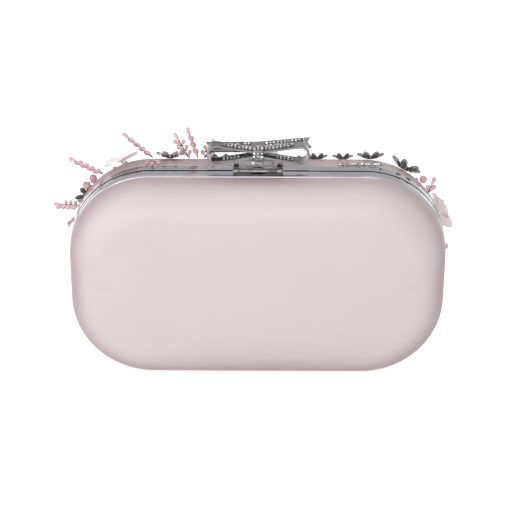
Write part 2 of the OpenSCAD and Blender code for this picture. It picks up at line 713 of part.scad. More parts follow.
// A row of silver seed beads beside the frame, on the top of the front half.
module seed_beads() color("silver") for (i = [0 : seed_count - 1])
    translate([seed_x + i * (2 * seed_r + fit_gap), satin_y + seed_r, top_z - satin_inset + seed_r + glue_gap])
        sphere(seed_r);

back_frame();
back_shell();
back_padding();
back_satin();
back_lining();
back_hinge_leaf();
back_hinge_rivets();
hinge_pin();
clasp_bracket();
bracket_rivets();
clasp_pin();
clasp_spring();
front_frame();
front_shell();
front_padding();
front_satin();
front_lining();
front_hinge_leaf();
front_hinge_rivets();
catch_plate();
catch_tongue();
catch_rivets();
clasp_lever();
bow_ribbon();
bow_studs();
bow_loop_stones();
bow_tail_stones();
bow_knot_stones();
flower_settings();
flower_petals();
flower_centres();
organza_petals();
organza_centres();
spray_wires();
drop_beads_left();
drop_beads_right();
drop_beads_face();
round_beads();
seed_beads();
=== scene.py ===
import math

import bmesh
import bpy
import numpy as np
from mathutils import Matrix, Vector


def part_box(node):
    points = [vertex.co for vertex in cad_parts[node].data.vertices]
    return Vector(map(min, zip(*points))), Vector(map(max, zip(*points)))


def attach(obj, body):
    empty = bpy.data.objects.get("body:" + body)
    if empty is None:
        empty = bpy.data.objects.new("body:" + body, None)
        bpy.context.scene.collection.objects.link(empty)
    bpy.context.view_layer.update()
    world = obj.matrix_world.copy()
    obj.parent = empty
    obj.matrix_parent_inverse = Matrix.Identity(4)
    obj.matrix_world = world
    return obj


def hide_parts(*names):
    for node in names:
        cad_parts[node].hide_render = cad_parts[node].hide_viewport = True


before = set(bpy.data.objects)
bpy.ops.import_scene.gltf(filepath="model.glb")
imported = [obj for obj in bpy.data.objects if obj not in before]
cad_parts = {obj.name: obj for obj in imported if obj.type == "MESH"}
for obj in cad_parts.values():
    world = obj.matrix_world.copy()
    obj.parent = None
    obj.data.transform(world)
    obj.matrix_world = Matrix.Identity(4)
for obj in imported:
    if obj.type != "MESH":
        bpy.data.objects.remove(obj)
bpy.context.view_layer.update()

# %% [markdown]
# # A satin box clutch with a bow clasp
# The real bag is two deep half shells, padded and covered in blush satin, each glued into a polished
# metal frame. A hinge joins the halves at the bottom and a bow clasp holds them on top. The front
# half carries sewn glass flowers, drop beads and sheer petals, seen here past the plain back.
# Each cell below makes one of those pieces around the frame that CAD has already fixed.

# %% Sizes that the pieces share
MM = 0.001
ROOT = "back_half"
FRONT = "front_half"
LEVER = "clasp_lever"

low, high = (Vector(corner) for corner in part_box("back_frame"))
HALF_W = (high.x - low.x) / 2
HEIGHT = high.z
STRIP = -low.y
SEAM = -high.y
CORNER = 43 * MM
FACE = -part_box("back_satin")[0][1]
EDGE = 18.2 * MM
INSET = HALF_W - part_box("back_satin")[1][0]
CX = HALF_W - CORNER
Z_LOW = CORNER
Z_UP = HEIGHT - CORNER
print("outline", round(HALF_W * 2, 4), "x", round(HEIGHT, 4), "strip", round(STRIP, 4), "face", round(FACE, 4))


# %% [markdown]
# ## Small helpers
# A shader tree is a set of nodes and the links between them, and every material here needs a dozen.
# One function adds a node, sets what it is told and joins its inputs, so that a material reads as a
# short list of steps. Another turns a hex colour, as a designer writes it, into the linear light that
# a shader works in.

# %% Colours and nodes
def linear(hex_colour):
    """Turns an sRGB hex colour into a linear RGBA tuple."""
    parts = [int(hex_colour[i:i + 2], 16) / 255 for i in (1, 3, 5)]
    return tuple(c / 12.92 if c <= 0.04045 else ((c + 0.055) / 1.055) ** 2.4 for c in parts) + (1.0,)


def add(tree, kind, inputs=None, **settings):
    """Adds a node, applies its settings, and fills or links each named or numbered input."""
    node = tree.nodes.new(kind)
    for name, value in settings.items():
        setattr(node, name, value)
    for key, value in (inputs or {}).items():
        if isinstance(value, bpy.types.NodeSocket):
            tree.links.new(value, node.inputs[key])
        else:
            node.inputs[key].default_value = value
    return node


def ramp(tree, factor, stops, interpolation="LINEAR"):
    """Adds a colour ramp whose stops are (place, hex colour) pairs."""
    node = add(tree, "ShaderNodeValToRGB", {"Fac": factor})
    elements = node.color_ramp.elements
    node.color_ramp.interpolation = interpolation
    while len(elements) < len(stops):
        elements.new(0.5)
    for element, (place, colour) in zip(elements, stops):
        element.position = place
        element.color = linear(colour)
    return node.outputs["Color"]


def new_material(name, **sockets):
    """Makes a material with one Principled shader, and returns it with its tree and shader."""
    made = bpy.data.materials.new(name)
    made.use_nodes = True
    tree = made.node_tree
    tree.nodes.clear()
    shader = add(tree, "ShaderNodeBsdfPrincipled")
    for socket, value in sockets.items():
        shader.inputs[socket.replace("_", " ")].default_value = value
    add(tree, "ShaderNodeOutputMaterial", {"Surface": shader.outputs["BSDF"]})
    return made, tree, shader


def new_object(name, data):
    """Makes an object from a mesh, curve, light or camera, and puts it in the scene."""
    made = bpy.data.objects.new(name, data)
    bpy.context.scene.collection.objects.link(made)
    return made


def bake(made):
    """Turns what the modifiers give into the object's own plain mesh."""
    graph = bpy.context.evaluated_depsgraph_get()
    mesh = bpy.data.meshes.new_from_object(made.evaluated_get(graph))
    made.modifiers.clear()
    made.data = mesh
    return made


def object_coordinates(tree):
    return add(tree, "ShaderNodeTexCoord").outputs["Object"]


def bump(tree, height, strength, distance):
    """Turns a height pattern into a normal; distance is the real depth in metres."""
    return add(tree, "ShaderNodeBump", {"Height": height, "Strength": strength,
                                        "Distance": distance}).outputs["Normal"]


# %% [markdown]
# ## Satin
# Duchesse satin is a weave whose long floats of filament yarn lie side by side, so it reflects light
# along one direction and looks pearly: pale where it faces the light and a warmer, greyer pink where
# it turns away. That darkening where the surface turns from the camera is painted into the colour,
# as painted shade. The yarns are about 0.12 mm apart, too fine for a picture of this size, so the weave
# is drawn at 0.35 mm, as fine crosswise lines. A wide soft noise gives the faint clouds of a fabric
# stretched over wadding.

# %% Satin material
def satin_material(name, pale, deep, scale=1.0):
    made, tree, shader = new_material(name, Roughness=0.42, Sheen_Weight=0.25, Sheen_Roughness=0.35,
                                      Anisotropic=0.35, IOR=1.5)
    place = object_coordinates(tree)
    cloud = add(tree, "ShaderNodeTexNoise", {"Vector": place, "Scale": 16.0 * scale, "Detail": 3.0,
                                             "Roughness": 0.45}).outputs["Fac"]
    weave_at = add(tree, "ShaderNodeMapping", {"Vector": place, "Scale": (260.0, 900.0, 2850.0)}).outputs["Vector"]
    weave = add(tree, "ShaderNodeTexNoise", {"Vector": weave_at, "Scale": 1.0, "Detail": 2.0,
                                             "Roughness": 0.6}).outputs["Fac"]
    # Painted shade: Layer Weight facing darkens the base colour where the surface turns away from the camera.
    edge = add(tree, "ShaderNodeLayerWeight", {"Blend": 0.42}).outputs["Facing"]
    cloud_weave_and_painted_shade = add(tree, "ShaderNodeMath", {0: cloud, 1: 0.22}, operation="MULTIPLY").outputs[0]
    cloud_weave_and_painted_shade = add(tree, "ShaderNodeMath", {0: edge, 1: cloud_weave_and_painted_shade}, operation="ADD").outputs[0]
    cloud_weave_and_painted_shade = add(tree, "ShaderNodeMath", {0: weave, 1: 0.10, 2: cloud_weave_and_painted_shade}, operation="MULTIPLY_ADD").outputs[0]
    colour = ramp(tree, cloud_weave_and_painted_shade, [(0.18, pale), (0.95, deep)], "EASE")
    tree.links.new(colour, shader.inputs["Base Color"])
    gloss = add(tree, "ShaderNodeMapRange", {"Value": weave, "To Min": 0.36, "To Max": 0.50}).outputs["Result"]
    tree.links.new(gloss, shader.inputs["Roughness"])
    relief = add(tree, "ShaderNodeMath", {0: cloud, 1: 3.0, 2: weave}, operation="MULTIPLY_ADD").outputs[0]
    tree.links.new(bump(tree, relief, 0.35, 0.05 * MM), shader.inputs["Normal"])
    shader.inputs["Sheen Tint"].default_value = linear("#f6e6e6")
    return made


BLUSH_SATIN = satin_material("Blush duchesse satin", "#e6dadb", "#b39a9d")
LINING_SATIN = satin_material("Lining satin", "#d9c8c9", "#a08a8e", 1.6)
print("satin", BLUSH_SATIN.name, "and", LINING_SATIN.name)


# %% [markdown]
# ## Metals
# The frame and the clasp are zinc alloy with a bright nickel plate, polished before plating. Polished
# plate is a clean mirror of a neutral grey with only faint polishing waves, so its look comes
# from what it reflects. Springs and rivets are steel: darker, and brushed or turned, with finer and
# rougher lines.

# %% Metal materials
def metal_material(name, colour, shade, roughness, line_scale, line_depth, painted_seam_shade=False):
    made, tree, shader = new_material(name, Metallic=1.0)
    place = object_coordinates(tree)
    haze = add(tree, "ShaderNodeTexNoise", {"Vector": place, "Scale": 90.0, "Detail": 4.0,
                                            "Roughness": 0.55}).outputs["Fac"]
    lines_at = add(tree, "ShaderNodeMapping", {"Vector": place, "Scale": line_scale}).outputs["Vector"]
    lines = add(tree, "ShaderNodeTexNoise", {"Vector": lines_at, "Scale": 1.0, "Detail": 2.0}).outputs["Fac"]
    tint = ramp(tree, haze, [(0.35, shade), (0.65, colour)])
    if painted_seam_shade:
        # Painted shade: the narrow meeting faces are painted near black, as the gap's shade, so the seam between the
        # halves reads as a dark line.
        depth = add(tree, "ShaderNodeSeparateXYZ", {"Vector": place}).outputs["Y"]
        near = add(tree, "ShaderNodeMath", {0: depth}, operation="ABSOLUTE").outputs[0]
        seam_shade_mask = add(tree, "ShaderNodeMapRange", {"Value": near, "From Min": 0.55 * MM,
                                                "From Max": 0.75 * MM}).outputs[0]
        tint = add(tree, "ShaderNodeMix", {0: seam_shade_mask, 6: linear("#161517"), 7: tint}, data_type="RGBA").outputs[2]
    tree.links.new(tint, shader.inputs["Base Color"])
    rough = add(tree, "ShaderNodeMapRange", {"Value": haze, "To Min": roughness * 0.75,
                                             "To Max": roughness * 1.35}).outputs["Result"]
    tree.links.new(rough, shader.inputs["Roughness"])
    tree.links.new(bump(tree, lines, 0.3, line_depth), shader.inputs["Normal"])
    return made


# The frame's plate gets painted seam shade on its meeting faces.
POLISHED_NICKEL = metal_material("Polished nickel plate", "#b5b4b7", "#a8a7ab", 0.09, (60, 60, 60), 0.01 * MM, True)
BRIGHT_NICKEL = metal_material("Bright nickel casting", "#9a9798", "#6f6c6d", 0.13, (300, 300, 300), 0.02 * MM)
TURNED_STEEL = metal_material("Turned steel", "#b4b2b0", "#8d8a88", 0.28, (3000, 300, 300), 0.01 * MM)
SPRING_STEEL = metal_material("Blued spring steel", "#77777c", "#55555c", 0.33, (200, 2600, 200), 0.01 * MM)
print("metals made")


# %% [markdown]
# ## Glass and crystal
# A rhinestone is cut glass with a mirror foil behind it. Its small flat facets each return one piece
# of the room, so a stone looks black in one facet and white in the next. Real glass with the foil
# modelled would need long light paths, so the stone is a clear coat over a mirror: a metallic body
# whose flat-shaded facets sparkle, helped by painted glints and painted dark reflections, small cells
# of near black, grey and white in its colour. Drop beads and round beads are pressed glass, tinted and
# clear enough to glow, so they use true transmission.

# %% Glass materials
def rhinestone(name, colour, shade):
    made, tree, shader = new_material(name, Metallic=0.92, Roughness=0.04, Coat_Weight=1.0,
                                      Coat_Roughness=0.02, Coat_IOR=1.6)
    place = object_coordinates(tree)
    # Painted glints and painted dark reflections: cells of the base colour run from near black through grey to white.
    cell = add(tree, "ShaderNodeTexVoronoi", {"Vector": place, "Scale": 900.0}).outputs["Color"]
    bright = add(tree, "ShaderNodeSeparateColor", {"Color": cell}).outputs["Red"]
    tree.links.new(ramp(tree, bright, [(0.0, shade), (0.45, colour), (1.0, "#ffffff")]), shader.inputs["Base Color"])
    return made


def pressed_glass(name, colour, pale, depth):
    made, tree, shader = new_material(name, Roughness=0.06, IOR=1.5, Transmission_Weight=depth,
                                      Coat_Weight=0.6, Coat_Roughness=0.03)
    place = object_coordinates(tree)
    swirl = add(tree, "ShaderNodeTexNoise", {"Vector": place, "Scale": 420.0, "Detail": 2.0}).outputs["Fac"]
    tree.links.new(ramp(tree, swirl, [(0.35, colour), (0.65, pale)]), shader.inputs["Base Color"])
    return made


CLEAR_STONE = rhinestone("Foiled clear rhinestone", "#a8a4a7", "#171618")
ROSE_STONE = rhinestone("Foiled rose rhinestone", "#c06a7b", "#4a1c28")
PINK_DROP = pressed_glass("Pressed rose glass", "#eab4bb", "#f5d3d6", 0.55)
PINK_ROUND = pressed_glass("Lustred pink glass", "#e0a3ab", "#f0c8cb", 0.35)
SILVER_SEED = rhinestone("Silver lined seed glass", "#bdb9bb", "#3b383b")
print("glass made")


# %% [markdown]
# ## Camera, background and light
# A product picture like this is taken from a little above with a long lens, so the two sides hardly
# converge. The lens is shifted and not turned to set the bag in the frame. The lamps are wide sheets,
# as studio soft boxes are: one large one in front gives the satin its even face, and weaker ones fill
# the top and sides. Grey cards stand where the polished frame would otherwise mirror only white.

# %% Camera
TARGET = Vector((0, 0, HEIGHT / 2))
ELEVATION = math.radians(28)
ROLL = math.radians(0.25)
DISTANCE = 0.95

camera = new_object("Camera", bpy.data.cameras.new("Camera"))
camera.location = TARGET + DISTANCE * Vector((0, -math.cos(ELEVATION), math.sin(ELEVATION)))
camera.rotation_euler = (Matrix.Rotation(math.pi / 2 - ELEVATION, 4, "X") @ Matrix.Rotation(ROLL, 4, "Z")).to_euler()
camera.data.sensor_width = 36
camera.data.lens = 126.5
camera.data.shift_x = -0.0033
camera.data.shift_y = 0.0186
bpy.context.scene.camera = camera
bpy.context.scene.view_settings.view_transform = "Standard"
print("camera at", tuple(round(v, 3) for v in camera.location))

# %% Background and floor
def seen_directly(tree):
    """Gives 1 to rays from the camera and to those that metal or glass sends on, and 0 to others."""
    path = add(tree, "ShaderNodeLightPath")
    seen = path.outputs["Is Camera Ray"]
    for other in ("Is Glossy Ray", "Is Transmission Ray"):
        seen = add(tree, "ShaderNodeMath", {0: seen, 1: path.outputs[other]}, operation="MAXIMUM").outputs[0]
    return seen


world = bpy.data.worlds.new("Studio")
bpy.context.scene.world = world
world.use_nodes = True
air = world.node_tree
air.nodes.clear()
WORLD_FILL = 0.42
level = add(air, "ShaderNodeMapRange", {"Value": seen_directly(air), "To Min": WORLD_FILL,
                                        "To Max": 1.0}).outputs["Result"]
sky = add(air, "ShaderNodeBackground", {"Color": linear("#ffffff"), "Strength": level}).outputs["Background"]
add(air, "ShaderNodeOutputWorld", {"Surface": sky})


def plane(name, width, depth, place, facing):
    """Makes a flat stage sheet at a place, with its face turned to a point."""
    mesh = bpy.data.meshes.new(name)
    w, d = width / 2, depth / 2
    mesh.from_pydata([(-w, -d, 0), (w, -d, 0), (w, d, 0), (-w, d, 0)], [], [(0, 1, 2, 3)])
    sheet = new_object(name, mesh)
    sheet.location = place
    sheet.rotation_euler = (Vector(facing) - Vector(place)).to_track_quat("Z", "Y").to_euler()
    return sheet


floor = plane("Floor", 8, 8, (0, 0, -0.0005), (0, 0, 1))
floor_finish, tree, shader = new_material("White studio floor", Roughness=0.9)
shader.inputs["Base Color"].default_value = linear("#f4f4f4")
grain = add(tree, "ShaderNodeTexNoise", {"Vector": object_coordinates(tree), "Scale": 300.0}).outputs["Fac"]
tree.links.new(bump(tree, grain, 0.05, 0.02 * MM), shader.inputs["Normal"])
FLOOR_LIFT = 0.62
lift = add(tree, "ShaderNodeMath", {0: seen_directly(tree), 1: FLOOR_LIFT}, operation="MULTIPLY").outputs[0]
tree.links.new(lift, shader.inputs["Emission Strength"])
shader.inputs["Emission Color"].default_value = linear("#ffffff")
floor.data.materials.append(floor_finish)
print("floor and background made")


# %% Lamps and cards
def soft_box(name, width, depth, place, facing, power):
    lamp = new_object(name, bpy.data.lights.new(name, "AREA"))
    lamp.data.shape = "RECTANGLE"
    lamp.data.size = width
    lamp.data.size_y = depth
    lamp.data.energy = power
    lamp.location = place
    lamp.rotation_euler = (Vector(facing) - Vector(place)).to_track_quat("-Z", "Y").to_euler()
    return lamp


soft_box("Front soft box", 1.6, 1.0, (-0.35, -1.7, 0.75), TARGET, 13)
soft_box("Left soft box", 0.8, 1.0, (-1.6, -0.5, 0.6), TARGET, 5)
for name, width, depth, place, power in (("Top soft box", 1.0, 0.8, (0.1, 0.3, 1.6), 4),
                                         ("Rear soft box", 1.4, 0.8, (0.3, 1.7, 0.7), 8)):
    # The polished frame would mirror these two as a blank white band, so reflections skip them.
    soft_box(name, width, depth, place, TARGET, power).visible_glossy = False


def card(name, width, depth, place, hex_colour, strength):
    """A grey card that only reflections see: its own light gives its level."""
    made, tree, shader = new_material(name, Roughness=1.0)
    shader.inputs["Base Color"].default_value = linear("#000000")
    shader.inputs["Specular IOR Level"].default_value = 0.0
    shader.inputs["Emission Color"].default_value = linear(hex_colour)
    shader.inputs["Emission Strength"].default_value = strength
    sheet = plane(name, width, depth, place, TARGET)
    sheet.data.materials.append(made)
    sheet.visible_diffuse = False
    sheet.visible_shadow = False
    return sheet


card("Grey card behind", 2.4, 1.1, (0, 1.9, 1.06), "#c6c6ca", 1.3)
card("Dark card low", 2.0, 0.30, (0, -1.5, 0.08), "#3a3a3e", 0.4)
print("lamps and cards set")


# %% [markdown]
# ## The padded satin covers
# Each cover is satin pulled tight over wadding on a moulded shell: nearly flat on the face, round at
# the edge, and tucked under the frame at the rim. A box with a bevel would be too crisp, because
# stretched cloth bulges a little everywhere. So a tidy net of four-sided faces is laid over the CAD
# form first, and Cloth then blows it up gently from inside while its rim is pinned, as wadding does.
# The net's rings share one set of points, so it has no poles where the weave would pinch.

# %% Net over a rounded tub
ARC_STEPS = 12
STRAIGHT_STEPS = 24
SIDE_STEPS = 2 * ARC_STEPS + STRAIGHT_STEPS


def outline(radius):
    """Points round a rounded rectangle, seen from the front, from the middle of the upper left corner."""
    corners = [(-CX, Z_UP, 135), (CX, Z_UP, 45), (CX, Z_LOW, -45), (-CX, Z_LOW, -135)]
    points = []
    for k in range(4):
        here, there = corners[k], corners[(k + 1) % 4]
        arc_out = [here[2] - 45 * i / ARC_STEPS for i in range(ARC_STEPS + 1)]
        arc_in = [here[2] - 45 - 45 * i / ARC_STEPS for i in range(ARC_STEPS)]
        first = [(here[0] + radius * math.cos(math.radians(a)), here[1] + radius * math.sin(math.radians(a)))
                 for a in arc_out]
        last = [(there[0] + radius * math.cos(math.radians(a)), there[1] + radius * math.sin(math.radians(a)))
                for a in arc_in]
        a, b = np.array(first[-1]), np.array(last[0])
        middle = [tuple(a + (b - a) * i / STRAIGHT_STEPS) for i in range(1, STRAIGHT_STEPS)]
        points += first + middle + last
    return np.array(points)


def tub_net(name, inset, depth, round_r, start, side, crown, tuck):
    """Builds an open tub: rings of (inset, depth) from the rim to the face, then a square grid."""
    arc = [math.radians(90 * i / 10) for i in range(11)]
    rings = [(inset + tuck, start), (inset + 0.3 * tuck, start), (inset, start + 0.3 * tuck)]
    rings += [(inset, start + (depth - round_r - start) * t) for t in (0.4, 0.75)]
    rings += [(inset + round_r * (1 - math.cos(a)), depth - round_r + round_r * math.sin(a)) for a in arc]
    points, faces = [], []
    count = 4 * SIDE_STEPS
    for ring_inset, y in rings:
        points += [(x, y * side, z) for x, z in outline(CORNER - ring_inset)]
    for k in range(len(rings) - 1):
        for i in range(count):
            j = (i + 1) % count
            faces.append((k * count + i, k * count + j, (k + 1) * count + j, (k + 1) * count + i))
    rim = outline(CORNER - rings[-1][0])
    centre = np.array([0, (Z_LOW + Z_UP) / 2])
    half = SIDE_STEPS // 2
    place = {}
    base = (len(rings) - 1) * count
    for i in range(SIDE_STEPS + 1):
        for j in range(SIDE_STEPS + 1):
            u, v = i - half, half - j
            ring = max(abs(u), abs(v))
            if v == ring:
                step = (u + ring, 0)
            elif u == ring:
                step = (ring - v, 1)
            elif v == -ring:
                step = (ring - u, 2)
            else:
                step = (v + ring, 3)
            along = (step[1] + (step[0] / (2 * ring) if ring else 0)) * SIDE_STEPS % count
            if ring == half:
                place[i, j] = base + int(round(along)) % count
                continue
            low_at = int(along) % count
            spot = rim[low_at] + (rim[(low_at + 1) % count] - rim[low_at]) * (along - int(along))
            x, z = centre + (spot - centre) * ring / half
            place[i, j] = len(points)
            points.append((x, side * (depth + crown * (1 - (ring / half) ** 2)), z))
    for i in range(SIDE_STEPS):
        for j in range(SIDE_STEPS):
            faces.append((place[i, j], place[i, j + 1], place[i + 1, j + 1], place[i + 1, j]))
    mesh = bpy.data.meshes.new(name)
    mesh.from_pydata([tuple(float(c) for c in p) for p in points], [], faces)
    made = new_object(name, mesh)
    net = bmesh.new()
    net.from_mesh(mesh)
    bmesh.ops.recalc_face_normals(net, faces=net.faces)
    outer = max(net.faces, key=lambda f: f.calc_center_median().y * side)
    if outer.normal.y * side < 0:
        bmesh.ops.reverse_faces(net, faces=net.faces)
    net.to_mesh(mesh)
    net.free()
    mesh.shade_smooth()
    made["pinned_to"] = 4 * count
    return made


def points_of(made):
    flat = np.zeros(len(made.data.vertices) * 3, np.float32)
    made.data.vertices.foreach_get("co", flat)
    return flat.reshape(-1, 3)


def set_points(made, points):
    made.data.vertices.foreach_set("co", np.asarray(points, np.float32).ravel())
    made.data.update()


# %% Cloth that is blown up from inside
def inflate(made, pressure, cap, frames=18):
    """Runs Cloth on a net with its rim pinned, then keeps each point within the cap of its start."""
    start = points_of(made).copy()
    pins = made.vertex_groups.new(name="pins")
    pins.add(list(range(made["pinned_to"])), 1.0, "REPLACE")
    cloth = made.modifiers.new("Cloth", "CLOTH")
    setting = cloth.settings
    setting.quality = 6
    setting.mass = 0.2
    setting.tension_stiffness = setting.compression_stiffness = 25
    setting.shear_stiffness = 12
    setting.bending_stiffness = 1.5
    setting.air_damping = 4
    setting.effector_weights.gravity = 0
    setting.use_pressure = True
    setting.uniform_pressure_force = pressure
    setting.vertex_group_mass = "pins"
    cloth.collision_settings.use_self_collision = False
    cloth.collision_settings.use_collision = False
    cloth.point_cache.frame_start = 1
    cloth.point_cache.frame_end = frames
    scene = bpy.context.scene
    for step in range(1, frames + 1):
        scene.frame_set(step)
    graph = bpy.context.evaluated_depsgraph_get()
    done = made.evaluated_get(graph).to_mesh()
    end = np.zeros(len(done.vertices) * 3, np.float32)
    done.vertices.foreach_get("co", end)
    made.evaluated_get(graph).to_mesh_clear()
    made.modifiers.remove(cloth)
    made.vertex_groups.remove(pins)
    scene.frame_set(1)
    move = end.reshape(-1, 3) - start
    length = np.maximum(np.linalg.norm(move, axis=1, keepdims=True), 1e-9)
    move *= np.minimum(1, cap / length)
    set_points(made, start + move)
    return float(np.abs(move).max())


def thicken(made, thickness, levels):
    """Smooths a net and gives it a wall on its inner side, as a plain mesh."""
    smooth = made.modifiers.new("Smooth", "SUBSURF")
    smooth.levels = smooth.render_levels = levels
    wall = made.modifiers.new("Wall", "SOLIDIFY")
    wall.thickness = thickness
    wall.offset = -1
    bake(made).data.shade_smooth()
    return made


def finish_piece(made, material, body, slot, *nodes):
    """Gives a piece its one material and its body, and hides the CAD nodes it stands for. The slot is not used."""
    if material is not None:
        made.data.materials.clear()
        made.data.materials.append(material)
    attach(made, body)
    if nodes:
        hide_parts(*nodes)
    return made


# %% Satin covers
PUFF = 1.1 * MM
for body, side in ((ROOT, -1), (FRONT, 1)):
    half = body.split("_")[0]
    start_y = abs(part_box(half + "_satin")[1 if side < 0 else 0][1])
    cover = tub_net(half + "_cover", INSET, FACE, EDGE, start_y, side, 0.3 * MM, 0.9 * MM)
    moved = inflate(cover, 1.5, PUFF)
    thicken(cover, 1.0 * MM, 1)
    finish_piece(cover, BLUSH_SATIN, body, "satin", half + "_satin", half + "_padding")
    print(cover.name, len(cover.data.polygons), "faces, puffed by", round(moved * 1000, 2), "mm")


# %% [markdown]
# ## The polished frames
# Each frame is one strip of metal bent round the whole outline: a bevelled edge at the seam, a nearly
# flat band, a rolled outer edge, and behind them a flange and a lip that the shell sits in. It is one
# section carried along one path, which is just what Curve to Mesh does, so the frame is a small
# Geometry Nodes tree with the bag's width, height and corner as its inputs. A groove is then cut
# along the bottom, where the halves swing about the hinge.

# %% Section of the frame
def section_curve(name, points):
    """A closed line through (outward, deep) points, as the profile of a sweep."""
    line = bpy.data.curves.new(name, "CURVE")
    line.dimensions = "2D"
    spline = line.splines.new("POLY")
    spline.points.add(len(points) - 1)
    for point, (across, deep) in zip(spline.points, points):
        point.co = (across, deep, 0, 1)
    spline.use_cyclic_u = True
    return new_object(name, line)


WALL = 1.3
FLANGE = 1.4
LIP = (4.2, 5.0, 3.6)
strip_w = STRIP * 1000
seam_y = SEAM * 1000
section = [(-0.5, seam_y), (-0.32, seam_y + 0.12), (-0.18, seam_y + 0.3), (-0.1, seam_y + 0.5)]
section += [(-0.1 * abs(t) ** 2.5, 3.05 + 2.2 * t) for t in (-0.85, -0.6, -0.3, 0, 0.3, 0.6, 0.85)]
section += [(-WALL + WALL * math.cos(a) * 0.97, strip_w - WALL + WALL * math.sin(a))
            for a in [math.radians(15 * k) for k in range(7)]]
section += [(-WALL, FLANGE), (-LIP[0], FLANGE), (-LIP[0], LIP[2] - 0.2), (-LIP[0] - 0.2, LIP[2]),
            (-LIP[1] + 0.2, LIP[2]), (-LIP[1], LIP[2] - 0.2), (-LIP[1], seam_y)]
FRAME_SECTION = section_curve("Frame section", [(a * MM, d * MM) for a, d in section])
print("frame section with", len(section), "points")


# %% Sweep tree for the frame
def frame_tree():
    tree = bpy.data.node_groups.new("Frame strip", "GeometryNodeTree")
    face = tree.interface
    face.new_socket("Geometry", in_out="INPUT", socket_type="NodeSocketGeometry")
    for name in ("Width", "Height", "Corner radius"):
        face.new_socket(name, in_out="INPUT", socket_type="NodeSocketFloat")
    face.new_socket("Corner steps", in_out="INPUT", socket_type="NodeSocketInt")
    face.new_socket("Section", in_out="INPUT", socket_type="NodeSocketObject")
    face.new_socket("Finish", in_out="INPUT", socket_type="NodeSocketMaterial")
    face.new_socket("Strip", in_out="OUTPUT", socket_type="NodeSocketGeometry")
    given = add(tree, "NodeGroupInput").outputs
    box = add(tree, "GeometryNodeCurvePrimitiveQuadrilateral", {"Width": given["Width"],
                                                                "Height": given["Height"]}).outputs[0]
    bent = add(tree, "GeometryNodeFilletCurve", {"Curve": box, "Count": given["Corner steps"],
                                                 "Radius": given["Corner radius"]}, mode="POLY").outputs[0]
    flat = add(tree, "GeometryNodeSetCurveNormal", {"Curve": bent}, mode="Z_UP").outputs[0]
    profile = add(tree, "GeometryNodeObjectInfo", {"Object": given["Section"]}).outputs["Geometry"]
    swept = add(tree, "GeometryNodeCurveToMesh", {"Curve": flat, "Profile Curve": profile}).outputs[0]
    real = add(tree, "GeometryNodeRealizeInstances", {"Geometry": swept}).outputs[0]
    done = add(tree, "GeometryNodeSetMaterial", {"Geometry": real, "Material": given["Finish"]}).outputs[0]
    add(tree, "NodeGroupOutput", {"Strip": done})
    return tree


def run_tree(name, tree, values, source=None):
    """Runs a tree as a modifier on a new object and returns its result as a plain mesh object."""
    made = new_object(name, source or bpy.data.meshes.new(name))
    nodes = made.modifiers.new("Nodes", "NODES")
    nodes.node_group = tree
    for socket in tree.interface.items_tree:
        if socket.in_out == "INPUT" and socket.name in values:
            nodes[socket.identifier] = values[socket.name]
    return bake(made)


FRAME_TREE = frame_tree()
print("sweep tree has", len(FRAME_TREE.nodes), "nodes")


# %% Mesh tools
def from_bmesh(name, net, smooth_angle=None):
    """Turns a bmesh into an object, flat shaded or smooth up to an angle in degrees."""
    mesh = bpy.data.meshes.new(name)
    net.to_mesh(mesh)
    net.free()
    return shade(new_object(name, mesh), smooth_angle)


def join_rings(net, loops, closed=False):
    """Joins each ring of points to the next, and the last to the first if closed."""
    for a, b in zip(loops, loops[1:] + loops[:1] if closed else loops[1:]):
        for i in range(len(a)):
            j = (i + 1) % len(a)
            net.faces.new((a[i], a[j], b[j], b[i]))


def shade(made, smooth_angle):
    if smooth_angle is None:
        made.data.shade_flat()
    else:
        made.data.shade_smooth()
        made.data.set_sharp_from_angle(angle=math.radians(smooth_angle))
    return made


def outward_faces(made):
    """Merges doubles and turns every face outwards."""
    net = bmesh.new()
    net.from_mesh(made.data)
    bmesh.ops.remove_doubles(net, verts=net.verts, dist=1e-7)
    bmesh.ops.recalc_face_normals(net, faces=net.faces)
    net.to_mesh(made.data)
    net.free()
    return made


def cut(made, tool):
    """Cuts a closed tool out of a piece and removes the tool."""
    trim = made.modifiers.new("Cut", "BOOLEAN")
    trim.operation = "DIFFERENCE"
    trim.solver = "EXACT"
    trim.object = tool
    bake(made)
    bpy.data.objects.remove(tool)
    return made


# %% Frames
GROOVE_TOP = 1.0 * MM
GROOVE_REACH = 6 * MM
KNUCKLE_ROOM_R = 1.3 * MM
LEAF_ROOM = (1.72 * MM, 3.5 * MM)
ROOM_PLAY = 0.2 * MM
HINGE_HALF = -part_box("hinge_pin")[0][0]


def groove_tool():
    """A long prism with its ridge up, and the round room of the knuckles."""
    net = bmesh.new()
    half = CX + 10 * MM
    ends = []
    for x in (-half, half):
        ends.append([net.verts.new((x, y, z)) for y, z in
                     ((0, GROOVE_TOP), (-GROOVE_REACH, GROOVE_TOP - GROOVE_REACH),
                      (GROOVE_REACH, GROOVE_TOP - GROOVE_REACH))])
    for k in range(3):
        net.faces.new((ends[0][k], ends[0][(k + 1) % 3], ends[1][(k + 1) % 3], ends[1][k]))
    net.faces.new(ends[0][::-1])
    net.faces.new(ends[1])
    bmesh.ops.recalc_face_normals(net, faces=net.faces)
    return from_bmesh("groove", net)


def knuckle_tool():
    net = bmesh.new()
    turn = Matrix.Rotation(math.pi / 2, 4, "Y")
    place = Matrix.Translation((0, 0, GROOVE_TOP))
    bmesh.ops.create_cone(net, cap_ends=True, segments=32, radius1=KNUCKLE_ROOM_R, radius2=KNUCKLE_ROOM_R,
                          depth=2 * HINGE_HALF + ROOM_PLAY, matrix=place @ turn)
    return from_bmesh("knuckle room", net)


